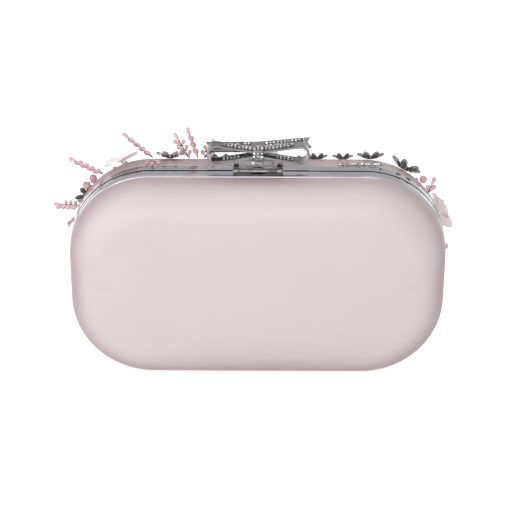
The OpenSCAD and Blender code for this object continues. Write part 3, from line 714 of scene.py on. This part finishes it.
def leaf_tool():
    net = bmesh.new()
    deep, tall = LEAF_ROOM
    size = Matrix.Diagonal((2 * HINGE_HALF + ROOM_PLAY, deep, tall, 1))
    bmesh.ops.create_cube(net, size=1, matrix=Matrix.Translation((0, 0, GROOVE_TOP + tall / 2)) @ size)
    return from_bmesh("leaf room", net)


frame_values = {"Width": 2 * HALF_W, "Height": HEIGHT, "Corner radius": CORNER, "Corner steps": 56,
                "Section": FRAME_SECTION, "Finish": POLISHED_NICKEL}
for body, side in ((ROOT, -1), (FRONT, 1)):
    half = body.split("_")[0]
    strip = run_tree(half + "_strip", FRAME_TREE, frame_values)
    flat = points_of(strip)
    set_points(strip, np.stack([flat[:, 0], side * np.abs(flat[:, 2]), flat[:, 1] + HEIGHT / 2], axis=1))
    outward_faces(strip)
    for tool in (groove_tool(), knuckle_tool(), leaf_tool()):
        cut(strip, tool)
    shade(strip, 32)
    finish_piece(strip, POLISHED_NICKEL, body, "polished_frame", half + "_frame")
    print(strip.name, len(strip.data.polygons), "faces")
bpy.data.objects.remove(FRAME_SECTION)


# %% [markdown]
# ## Clasp castings and the hinge
# The bracket, the catch plate and the lever are small castings. Their CAD shapes are right but have
# knife edges, and no polished casting has those: the tumbling that polishes it rounds every edge by
# a tenth or two of a millimetre, and that round is what catches the light. So each casting is a
# copy of the CAD shape with its flat triangles joined again and its edges bevelled.

# %% Softened castings
CASTING_ANGLE = 28


def softened(name, node, width):
    """Copies a CAD node, joins its triangles into real faces and rounds its edges."""
    net = bmesh.new()
    net.from_mesh(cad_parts[node].data)
    bmesh.ops.remove_doubles(net, verts=net.verts, dist=1e-6)
    bmesh.ops.dissolve_limit(net, angle_limit=math.radians(1), verts=net.verts, edges=net.edges)
    made = from_bmesh(name, net, CASTING_ANGLE)
    round_off = made.modifiers.new("Edges", "BEVEL")
    round_off.width = width
    round_off.segments = 2
    round_off.limit_method = "ANGLE"
    round_off.angle_limit = math.radians(40)
    round_off.use_clamp_overlap = True
    round_off.harden_normals = False
    return shade(bake(made), CASTING_ANGLE)


for name, node, body, width in (("bracket", "clasp_bracket", ROOT, 0.16), ("catch", "catch_plate", FRONT, 0.18),
                                ("lever", "clasp_lever", LEVER, 0.14)):
    casting = softened(name + "_casting", node, width * MM)
    finish_piece(casting, BRIGHT_NICKEL, body, "clasp_metal", node)
    print(casting.name, len(casting.data.polygons), "faces")

# %% Plain hardware keeps its CAD shape
HARDWARE = {"back_hinge_leaf": BRIGHT_NICKEL, "front_hinge_leaf": BRIGHT_NICKEL, "back_hinge_rivets": TURNED_STEEL,
            "front_hinge_rivets": TURNED_STEEL, "hinge_pin": TURNED_STEEL, "bracket_rivets": TURNED_STEEL,
            "catch_rivets": TURNED_STEEL, "clasp_pin": TURNED_STEEL, "bow_studs": TURNED_STEEL,
            "clasp_spring": SPRING_STEEL, "catch_tongue": SPRING_STEEL, "spray_wires": BRIGHT_NICKEL}


def repaint(node, material):
    """Gives a CAD node a material without touching its mesh."""
    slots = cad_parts[node].material_slots
    if not slots:
        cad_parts[node].data.materials.append(material)
    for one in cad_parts[node].material_slots:
        one.material = material


for node, material in HARDWARE.items():
    repaint(node, material)
print(len(HARDWARE), "small parts keep their CAD shape")


# %% [markdown]
# ## Shell plastic
# Behind the lining each half is a moulded ABS tub, about 1.4 mm thick. Moulded ABS that is never seen
# is left with the fine spark texture of its tool, grey white and matt.

# %% Shells
def shell_material():
    made, tree, shader = new_material("Spark textured ABS", Roughness=0.62, IOR=1.53)
    place = object_coordinates(tree)
    spark = add(tree, "ShaderNodeTexNoise", {"Vector": place, "Scale": 1600.0, "Detail": 3.0}).outputs["Fac"]
    patch = add(tree, "ShaderNodeTexNoise", {"Vector": place, "Scale": 30.0}).outputs["Fac"]
    tree.links.new(ramp(tree, patch, [(0.3, "#d8d6d2"), (0.7, "#e6e4e0")]), shader.inputs["Base Color"])
    tree.links.new(bump(tree, spark, 0.5, 0.03 * MM), shader.inputs["Normal"])
    return made


ABS = shell_material()
for node in ("back_shell", "front_shell"):
    repaint(node, ABS)
print("shells painted")


# %% [markdown]
# ## Solids that repeat
# The dress and the bow hold hundreds of stones and beads, but only a handful of shapes. CAD has put a
# plain solid at each place. Here each solid is found again as an island of its node's mesh, and its
# middle, its own axes and its size are measured. The measurements become points with two attributes,
# a turn and a size, and a Geometry Nodes tree sets one detailed shape on every point. So the beads
# always sit where CAD says, and a changed size in CAD needs no new number here.

# %% Finding the solids of a node
def islands(node):
    """The separate solids of a CAD node: an array of surface points for each, in a steady order."""
    net = bmesh.new()
    net.from_mesh(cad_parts[node].data)
    bmesh.ops.remove_doubles(net, verts=net.verts, dist=1e-6)
    net.verts.ensure_lookup_table()
    seen, groups = set(), []
    for vert in net.verts:
        if vert.index in seen:
            continue
        seen.add(vert.index)
        stack, group = [vert], []
        while stack:
            here = stack.pop()
            group.append(tuple(here.co))
            for edge in here.link_edges:
                other = edge.other_vert(here)
                if other.index not in seen:
                    seen.add(other.index)
                    stack.append(other)
        groups.append(np.array(group))
    net.free()
    return sorted(groups, key=lambda g: tuple(np.round(g.mean(axis=0), 5)))


def away(point):
    """The direction from the bag's inner core to a point, which tells the outer side of a piece."""
    core = np.array([min(max(point[0], -CX), CX), 0, min(max(point[2], Z_LOW), Z_UP)])
    return point - core


def axes_of(group, kind):
    """Middle, right-handed axes and size of a solid. Kinds: petal, cone and drop."""
    middle = (group.min(axis=0) + group.max(axis=0)) / 2
    spread = group - group.mean(axis=0)
    values, vectors = np.linalg.eigh(spread.T @ spread)
    small, _, long = vectors.T
    if kind == "petal":
        z_axis = small if small @ away(middle) > 0 else -small
        x_axis = long if long @ np.array([0.31, 0.17, 0.94]) > 0 else -long
    elif kind == "cone":
        z_axis = small
        height = spread @ z_axis
        radius = np.linalg.norm(spread - np.outer(height, z_axis), axis=1)
        if radius[height > 0].max() > radius[height < 0].max():
            z_axis = -z_axis
        guide = np.array([1.0, 0, 0]) if abs(z_axis[0]) < 0.9 else np.array([0, 0, 1.0])
        x_axis = guide - z_axis * (guide @ z_axis)
    else:
        x_axis = long
        along = spread @ x_axis
        radius = np.linalg.norm(spread - np.outer(along, x_axis), axis=1)
        if radius[along > 0].max() < radius[along < 0].max():
            x_axis = -x_axis
        out = away(middle)
        z_axis = out - x_axis * (out @ x_axis)
    x_axis = x_axis / np.linalg.norm(x_axis)
    z_axis = z_axis / np.linalg.norm(z_axis)
    y_axis = np.cross(z_axis, x_axis)
    axes = np.stack([x_axis, y_axis, z_axis], axis=1)
    local = group @ axes
    size = local.max(axis=0) - local.min(axis=0)
    centre = axes @ ((local.max(axis=0) + local.min(axis=0)) / 2)
    return centre, axes, size


# %% The tree that sets a shape on every point
def copies_tree():
    tree = bpy.data.node_groups.new("Set a shape on each point", "GeometryNodeTree")
    face = tree.interface
    face.new_socket("Places", in_out="INPUT", socket_type="NodeSocketGeometry")
    face.new_socket("Shape", in_out="INPUT", socket_type="NodeSocketObject")
    face.new_socket("Finish", in_out="INPUT", socket_type="NodeSocketMaterial")
    face.new_socket("Copies", in_out="OUTPUT", socket_type="NodeSocketGeometry")
    given = add(tree, "NodeGroupInput").outputs
    shape = add(tree, "GeometryNodeObjectInfo", {"Object": given["Shape"]}).outputs["Geometry"]
    turn, size = (add(tree, "GeometryNodeInputNamedAttribute", {"Name": label}, data_type=kind).outputs["Attribute"]
                  for label, kind in (("turn", "QUATERNION"), ("size", "FLOAT_VECTOR")))
    copies = add(tree, "GeometryNodeInstanceOnPoints", {"Points": given["Places"], "Instance": shape,
                                                        "Rotation": turn, "Scale": size}).outputs[0]
    real = add(tree, "GeometryNodeRealizeInstances", {"Geometry": copies}).outputs[0]
    done = add(tree, "GeometryNodeSetMaterial", {"Geometry": real, "Material": given["Finish"]}).outputs[0]
    add(tree, "NodeGroupOutput", {"Copies": done})
    return tree


COPIES_TREE = copies_tree()


def set_copies(name, places, shape, material, body, slot, nodes=()):
    """Sets a shape on each (middle, axes, size) place, as one plain mesh that rides on a body."""
    points = bpy.data.meshes.new(name)
    points.from_pydata([tuple(float(c) for c in p[0]) for p in places], [], [])
    turns = [tuple(Matrix(axes.tolist()).to_quaternion()) for _, axes, _ in places]
    for label, kind, values in (("turn", "QUATERNION", turns), ("size", "FLOAT_VECTOR", [p[2] for p in places])):
        points.attributes.new(label, kind, "POINT")
        field = "value" if label == "turn" else "vector"
        points.attributes[label].data.foreach_set(field, np.array(values, dtype=np.float32).ravel())
    made = run_tree(name, COPIES_TREE, {"Shape": shape, "Finish": material}, points)
    for attribute in [a.name for a in made.data.attributes if a.name in ("turn", "size")]:
        made.data.attributes.remove(made.data.attributes[attribute])
    finish_piece(made, None, body, slot, *nodes)
    print(name, len(places), "copies,", len(made.data.polygons), "faces")
    return made


def cupped(places, hearts, rise):
    """Turns each petal up about its root, by an angle in degrees, so that a flower opens like a cup."""
    lifted = []
    for centre, axes, size in places:
        heart = min(hearts, key=lambda h: np.linalg.norm(h[0] - centre))
        up = heart[1][:, 2]
        out = centre - heart[0]
        out = out - up * (out @ up)
        out = out / np.linalg.norm(out)
        turn = np.array(Matrix.Rotation(-math.radians(rise), 3, Vector(np.cross(up, out))).to_3x3())
        root = heart[0] + out * heart[2][0] / 2
        lifted.append((root + turn @ (centre - root), turn @ axes, size))
    return lifted


# %% [markdown]
# ## Cut stones, settings and beads
# A rhinestone has a flat table, a ring of slanting facets and a thin girdle that the setting holds.
# Navette petals are the same cut on a pointed oval. Each is a few rings of points joined into flat
# faces and left flat shaded, because the hard steps between facets are what sparkles. Every shape is
# made one unit long, wide and high, so that the measured size stretches it to fit its place.

# %% Ring built shapes
def lathe(name, rings, count, smooth_angle=None, outline_at=None):
    """Joins rings of (scale, height, offset) round a shape's own outline into a closed solid."""
    outline_at = outline_at or (lambda a: (0.5 * math.cos(a), 0.5 * math.sin(a)))
    net = bmesh.new()
    loops = []
    for scale, height, offset in rings:
        loop = []
        for i in range(count):
            x, y = outline_at(2 * math.pi * (i + offset) / count)
            loop.append(net.verts.new((x * scale, y * scale, height)))
        loops.append(loop)
    for k in range(len(loops) - 1):
        a, b = loops[k], loops[k + 1]
        shifted = abs(rings[k][2] - rings[k + 1][2]) > 0.01
        for i in range(count):
            j = (i + 1) % count
            if shifted and rings[k + 1][2] > rings[k][2]:
                net.faces.new((a[i], a[j], b[i]))
                net.faces.new((a[j], b[j], b[i]))
            elif shifted:
                net.faces.new((a[i], a[j], b[j]))
                net.faces.new((a[i], b[j], b[i]))
            else:
                net.faces.new((a[i], a[j], b[j], b[i]))
    net.faces.new(loops[0][::-1])
    net.faces.new(loops[-1])
    bmesh.ops.recalc_face_normals(net, faces=net.faces)
    made = from_bmesh(name, net, smooth_angle)
    bpy.context.scene.collection.objects.unlink(made)
    return made


def navette_outline(angle):
    """A pointed oval, half a unit from middle to tip and to side."""
    x, y = math.cos(angle), math.sin(angle)
    return 0.5 * math.copysign(abs(x) ** 0.9, x), 0.5 * math.copysign(abs(y) ** 1.35, y)


ROUND_STONE = lathe("round stone", [(0.8, -0.5, 0), (1, -0.2, 0), (1, -0.05, 0), (0.82, 0.28, 0.5), (0.5, 0.5, 0)], 8)
NAVETTE_STONE = lathe("navette stone", [(0.85, -0.5, 0), (1, -0.15, 0), (1, 0, 0), (0.72, 0.34, 0.5),
                                        (0.36, 0.5, 0)], 10, outline_at=navette_outline)
ROUND_CUP = lathe("round cup", [(0.9, -1.55, 0), (1.25, -1.3, 0), (1.3, -0.2, 0), (1.24, -0.02, 0), (1.1, -0.02, 0),
                                (1.02, -0.3, 0)], 16, 35)
NAVETTE_CUP = lathe("navette cup", [(1.1, -1.4, 0), (1.36, -1.25, 0), (1.4, -0.25, 0), (1.3, -0.05, 0),
                                    (1.14, -0.05, 0), (1.04, -0.3, 0)], 16, 35, navette_outline)
PEARL = lathe("pearl", [(math.sin(math.radians(a)), -0.5 * math.cos(math.radians(a)), 0)
                        for a in (8, 30, 52, 74, 96, 118, 140, 160, 172)], 12, 60)
print("stones, cups and pearls shaped")


# %% Beads
def drop_shape():
    """A pressed drop: a thin neck that swells to a round end, with six shallow lobes along it."""
    net = bmesh.new()
    profile = [(-0.5, 0.10), (-0.44, 0.20), (-0.34, 0.30), (-0.2, 0.52), (-0.05, 0.74), (0.1, 0.92), (0.24, 1.0),
               (0.36, 0.90), (0.45, 0.62), (0.495, 0.25)]
    loops = []
    for x, r in profile:
        loops.append([net.verts.new((x, 0.5 * r * (1 - 0.05 * (i % 2)) * math.cos(math.pi * i / 6),
                                     0.5 * r * (1 - 0.05 * (i % 2)) * math.sin(math.pi * i / 6))) for i in range(12)])
    join_rings(net, loops)
    net.faces.new(loops[0])
    net.faces.new(loops[-1][::-1])
    bmesh.ops.recalc_face_normals(net, faces=net.faces)
    made = from_bmesh("drop", net, 40)
    bpy.context.scene.collection.objects.unlink(made)
    return made


def seed_shape():
    """A short round bead with a hole through it along X."""
    net = bmesh.new()
    loops = []
    for k in range(8):
        a = 2 * math.pi * k / 8
        x, r = 0.42 * math.sin(a), 0.33 + 0.17 * math.cos(a)
        loops.append([net.verts.new((x, r * math.cos(2 * math.pi * i / 12), r * math.sin(2 * math.pi * i / 12)))
                      for i in range(12)])
    join_rings(net, loops, closed=True)
    bmesh.ops.recalc_face_normals(net, faces=net.faces)
    made = from_bmesh("seed", net, 60)
    bpy.context.scene.collection.objects.unlink(made)
    return made


DROP = drop_shape()
SEED = seed_shape()
TIP = lathe("tip ball", [(math.sin(math.radians(a)), -0.5 * math.cos(math.radians(a)), 0)
                         for a in (15, 45, 75, 105, 135, 165)], 8, 60)
print("drop with", len(DROP.data.polygons), "faces, seed with", len(SEED.data.polygons))

# %% Flowers, sprays and loose beads
PETAL_RISE = 24

petals = [axes_of(g, "petal") for g in islands("flower_petals")]
centres = [axes_of(g, "cone") for g in islands("flower_centres")]
petals = cupped(petals, centres, PETAL_RISE)
set_copies("flower_stones", petals, NAVETTE_STONE, CLEAR_STONE, FRONT, "clear_crystal", ["flower_petals"])
set_copies("flower_hearts", centres, ROUND_STONE, ROSE_STONE, FRONT, "rose_crystal", ["flower_centres"])
set_copies("petal_cups", petals, NAVETTE_CUP, BRIGHT_NICKEL, FRONT, "setting_metal", ["flower_settings"])
set_copies("heart_cups", centres, ROUND_CUP, BRIGHT_NICKEL, FRONT, "setting_metal")

drops = {}
for part in ("left", "right", "face"):
    drops[part] = [axes_of(g, "drop") for g in islands("drop_beads_" + part)]
    set_copies("drops_" + part, drops[part], DROP, PINK_DROP, FRONT, "drop_glass", ["drop_beads_" + part])
tips = [(c - axes[:, 0] * size[0] * 0.49, axes, np.full(3, size[1] * 0.42))
        for part in drops.values() for c, axes, size in part]
set_copies("drop_tips", tips, TIP, BRIGHT_NICKEL, FRONT, "wire_metal")
set_copies("pink_pearls", [axes_of(g, "cone") for g in islands("round_beads")], PEARL, PINK_ROUND, FRONT,
           "drop_glass", ["round_beads"])
set_copies("seed_row", [((g.min(axis=0) + g.max(axis=0)) / 2, np.eye(3), g.max(axis=0) - g.min(axis=0))
                        for g in islands("seed_beads")], SEED, SILVER_SEED, FRONT, "seed_glass", ["seed_beads"])

# %% Stones of the bow
for part in ("loop", "tail", "knot"):
    node = "bow_" + part + "_stones"
    stones = [axes_of(g, "cone") for g in islands(node)]
    set_copies("pave_" + part, stones, ROUND_STONE, CLEAR_STONE, LEVER, "clear_crystal", [node])
    set_copies("pave_cups_" + part, stones, ROUND_CUP, BRIGHT_NICKEL, LEVER, "bow_metal")


# %% [markdown]
# ## The bow
# The bow is a cast ribbon: two open loops, two tails behind them and a knot over the middle. A ribbon
# that is to hold stones is cast with a raised rim along both edges, and the stones lie in the channel
# between. Each loop is therefore one H-shaped section swept round an outline of two arcs and two
# straight lines, which keeps the rims even all the way.

# %% Loops, tails and knot
END_R = 5.0
ROOT_R = 1.7
BOW_HALF_W = 26.4
LOOP_L = BOW_HALF_W - END_R
TILT = math.asin((END_R - ROOT_R) / LOOP_L)
LOOP_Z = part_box("bow_ribbon")[0][2] / MM + END_R
RIBBON_T = 1.1
RIBBON_Y = (-2.4, 4.2)
RIM = 0.55
CHANNEL = 0.16


def loop_mesh(net, side):
    """Sweeps the H section round one loop."""
    angles = [math.pi / 2 + TILT - k * (math.pi + 2 * TILT) / 28 for k in range(29)]
    way = [(LOOP_L + END_R * math.cos(a), END_R * math.sin(a), a) for a in angles]
    angles = [-math.pi / 2 - TILT - k * (math.pi - 2 * TILT) / 12 for k in range(13)]
    way += [(ROOT_R * math.cos(a), ROOT_R * math.sin(a), a) for a in angles]
    y0, y1 = RIBBON_Y
    outer = [(-0.08, y0), (0, y0 + 0.08), (0, y0 + RIM - 0.05), (-CHANNEL, y0 + RIM + 0.08),
             (-CHANNEL, y1 - RIM - 0.08), (0, y1 - RIM + 0.05), (0, y1 - 0.08), (-0.08, y1)]
    inner = [(-RIBBON_T - n, y) for n, y in outer[::-1]]
    loops = []
    for x, z, a in way:
        loops.append([net.verts.new((side * (x + n * math.cos(a)) * MM, y * MM, (LOOP_Z + z + n * math.sin(a)) * MM))
                      for n, y in outer + inner])
    join_rings(net, loops, closed=True)


def tail_mesh(net, side, rise):
    """A flat ribbon end with a notch, its rim raised round a channel."""
    length, width, notch = 27.8, 6.0, 1.7
    place = (Matrix.Translation((0, RIBBON_Y[1] - 0.8, LOOP_Z - 1)) @ Matrix.Rotation(math.radians(8), 4, "Z")
             @ Matrix.Rotation(math.radians(-rise), 4, "Y") @ Matrix.Rotation(math.radians(32), 4, "X"))
    flip = Matrix.Diagonal((side * MM, MM, MM, 1))
    edge = [(0, 0), (length * 0.5, 0), (length, 0), (length - notch, width / 2), (length, width),
            (length * 0.5, width), (0, width)]
    low_face = net.faces.new([net.verts.new(flip @ place @ Vector((x, y, 0))) for x, y in edge])
    out = bmesh.ops.extrude_face_region(net, geom=[low_face])
    top = [f for f in out["geom"] if isinstance(f, bmesh.types.BMFace)][0]
    shift = (flip.to_3x3() @ place.to_3x3() @ Vector((0, 0, RIBBON_T)))
    bmesh.ops.translate(net, verts=top.verts, vec=shift)
    return top


def bow_mesh():
    net = bmesh.new()
    for side in (1, -1):
        loop_mesh(net, side)
    bmesh.ops.recalc_face_normals(net, faces=net.faces)
    for side, rise in ((1, 2), (-1, -4)):
        before = set(net.faces)
        top = tail_mesh(net, side, rise)
        bmesh.ops.recalc_face_normals(net, faces=[f for f in net.faces if f not in before])
        bmesh.ops.inset_individual(net, faces=[top], thickness=RIM * MM, depth=-CHANNEL * MM)
    made = from_bmesh("bow_band", net, 35)
    return made


def knot_mesh():
    """A box with rounded edges, set over the middle of the loops."""
    net = bmesh.new()
    knot_low = Vector((-2.8, -3.3, LOOP_Z - 3.06)) * MM
    knot_high = Vector((2.8, 5.1, LOOP_Z + 2.74)) * MM
    size = knot_high - knot_low
    place = Matrix.Translation((knot_low + knot_high) / 2) @ Matrix.Diagonal((*size, 1))
    bmesh.ops.create_cube(net, size=1, matrix=place)
    bmesh.ops.bevel(net, geom=net.edges[:], offset=0.45 * MM, segments=3, profile=0.6, affect="EDGES")
    return from_bmesh("bow_knot", net, 40)


bow = bow_mesh()
finish_piece(bow, BRIGHT_NICKEL, LEVER, "bow_metal", "bow_ribbon")
knot = knot_mesh()
finish_piece(knot, BRIGHT_NICKEL, LEVER, "bow_metal")
print("bow band", len(bow.data.polygons), "faces at height", round(LOOP_Z, 2), "mm")


# %% [markdown]
# ## Sheer petals
# The large pale petals are cut from organza, a thin crisp weave of silk or nylon that shows what is
# behind it. A petal is gathered at its root under a bead, cupped, and wavy at its free edge, because
# the hot knife that seals the edge shrinks it. Cloth that thin needs a real weave in its
# transparency, not a tint: the yarns are 0.25 mm apart on the real cloth and about 1 mm apart here,
# so that they show.

# %% Organza material
def organza_material():
    made, tree, shader = new_material("Organza", Roughness=0.4, Sheen_Weight=0.3, Transmission_Weight=0.0)
    place = add(tree, "ShaderNodeUVMap", uv_map="weave").outputs["UV"]
    waves = []
    for direction in ("X", "Y"):
        waves.append(add(tree, "ShaderNodeTexWave", {"Vector": place, "Scale": 0.32, "Distortion": 0.6,
                                                     "Detail": 1.0}, bands_direction=direction).outputs["Fac"])
    threads = add(tree, "ShaderNodeMath", {0: waves[0], 1: waves[1]}, operation="MAXIMUM").outputs[0]
    cloud = add(tree, "ShaderNodeTexNoise", {"Vector": object_coordinates(tree), "Scale": 90.0}).outputs["Fac"]
    tree.links.new(ramp(tree, cloud, [(0.3, "#e3c3c6"), (0.7, "#f3e4e5")]), shader.inputs["Base Color"])
    cover = add(tree, "ShaderNodeMapRange", {"Value": threads, "To Min": 0.42, "To Max": 0.86}).outputs["Result"]
    tree.links.new(cover, shader.inputs["Alpha"])
    tree.links.new(bump(tree, threads, 0.4, 0.05 * MM), shader.inputs["Normal"])
    return made


ORGANZA = organza_material()

# %% Petals from their rings
PETAL_STEPS = 12


def petal_ring(net, weave, middle, axes, turn, size, seed):
    """Four cupped petals round a middle, with wavy edges."""
    for k in range(4):
        angle = turn + math.pi / 2 * k
        rows = []
        lean = math.radians(12 + 5 * (k % 2))
        for i in range(PETAL_STEPS + 1):
            s = i / PETAL_STEPS
            reach = 0.9 + s * (size - 0.9)
            bell = math.sin(math.pi * min(1, 0.06 + 0.9 * s)) ** 0.55
            spread = 0.62 * size * bell * (0.18 + 0.82 * min(1, s * 2.2))
            row = []
            for j in range(PETAL_STEPS + 1):
                t = 2 * j / PETAL_STEPS - 1
                wave = 0.45 * s * s * math.sin(5.1 * t + 1.7 * seed + 2.3 * k) + 0.5 * abs(t) ** 2 * s
                x = reach - 0.12 * size * t * t * s
                point = Vector((x, t * spread, 0.45 + (x + 1.6) * math.tan(lean) * 0.85 + wave))
                point = Matrix.Rotation(angle, 3, "Z") @ point
                vert = net.verts.new(middle + axes @ point * MM)
                row.append((vert, (reach, t * spread)))
            rows.append(row)
        for i in range(PETAL_STEPS):
            for j in range(PETAL_STEPS):
                corner = [rows[i][j], rows[i + 1][j], rows[i + 1][j + 1], rows[i][j + 1]]
                face = net.faces.new([c[0] for c in corner])
                for loop, (_, uv) in zip(face.loops, corner):
                    loop[weave].uv = uv


net = bmesh.new()
weave = net.loops.layers.uv.new("weave")
bead_places = [axes_of(g, "cone") for g in islands("organza_centres")]
for seed, group in enumerate(islands("organza_petals")):
    centre, axes, _ = axes_of(group, "petal")
    bead = min(bead_places, key=lambda b: np.linalg.norm(b[0] - centre))
    z_axis = axes[:, 2]
    base = bead[0] - z_axis * bead[2][2] / 2
    local = (group - base) @ axes
    radius, angle = np.hypot(local[:, 0], local[:, 1]), np.arctan2(local[:, 1], local[:, 0])
    lobes = (radius ** 6 * np.exp(4j * angle)).sum()
    petal_ring(net, weave, Vector(base), Matrix(axes.tolist()), float(np.angle(lobes)) / 4,
               float(radius.max()) / MM * 0.99, seed)
petals_made = from_bmesh("organza_cloth", net, 70)
finish_piece(petals_made, ORGANZA, FRONT, "sheer_cloth", "organza_petals")
set_copies("petal_beads", bead_places, PEARL, PINK_ROUND, FRONT, "rose_crystal", ["organza_centres"])


# %% [markdown]
# ## Linings
# Each half is lined with the same satin, glued to the shell. Glued cloth lies close on the flat and
# gathers into small pleats where it turns the round corners, since it has more edge than room there.
# The net of the covers is used again, with pleats moved in by a wave that grows towards the corners.

# %% Linings with gathered corners
LINING_EDGE = 14.8 * MM
for body, side in ((ROOT, -1), (FRONT, 1)):
    half = body.split("_")[0]
    low_c, high_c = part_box(half + "_lining")
    inset = HALF_W - high_c.x
    depth = max(abs(low_c.y), abs(high_c.y))
    start_y = min(abs(low_c.y), abs(high_c.y))
    lining = tub_net(half + "_lining_cloth", inset, depth, LINING_EDGE, start_y, side, 0, 0)
    spots = points_of(lining)
    core = np.stack([np.clip(spots[:, 0], -CX, CX), np.zeros(len(spots)), np.clip(spots[:, 2], Z_LOW, Z_UP)], axis=1)
    out = spots - core
    turn = np.arctan2(out[:, 2], out[:, 0])
    flatness = np.clip((np.abs(spots[:, 1]) - start_y) / (depth - start_y), 0, 1)
    corner = np.sin(2 * turn) ** 2 * (1 - flatness ** 3) * flatness ** 0.5
    pleat = 0.35 * MM * corner * (1 + np.sin(38 * turn + 4 * flatness))
    sag = 0.12 * MM * (1 + np.sin(90 * spots[:, 0] + 60 * spots[:, 2]) * np.sin(140 * spots[:, 2]))
    inward = -out / np.maximum(np.linalg.norm(out, axis=1, keepdims=True), 1e-6)
    set_points(lining, spots + inward * (pleat + sag)[:, None])
    thicken(lining, 0.45 * MM, 1)
    finish_piece(lining, LINING_SATIN, body, "lining_cloth", half + "_lining")
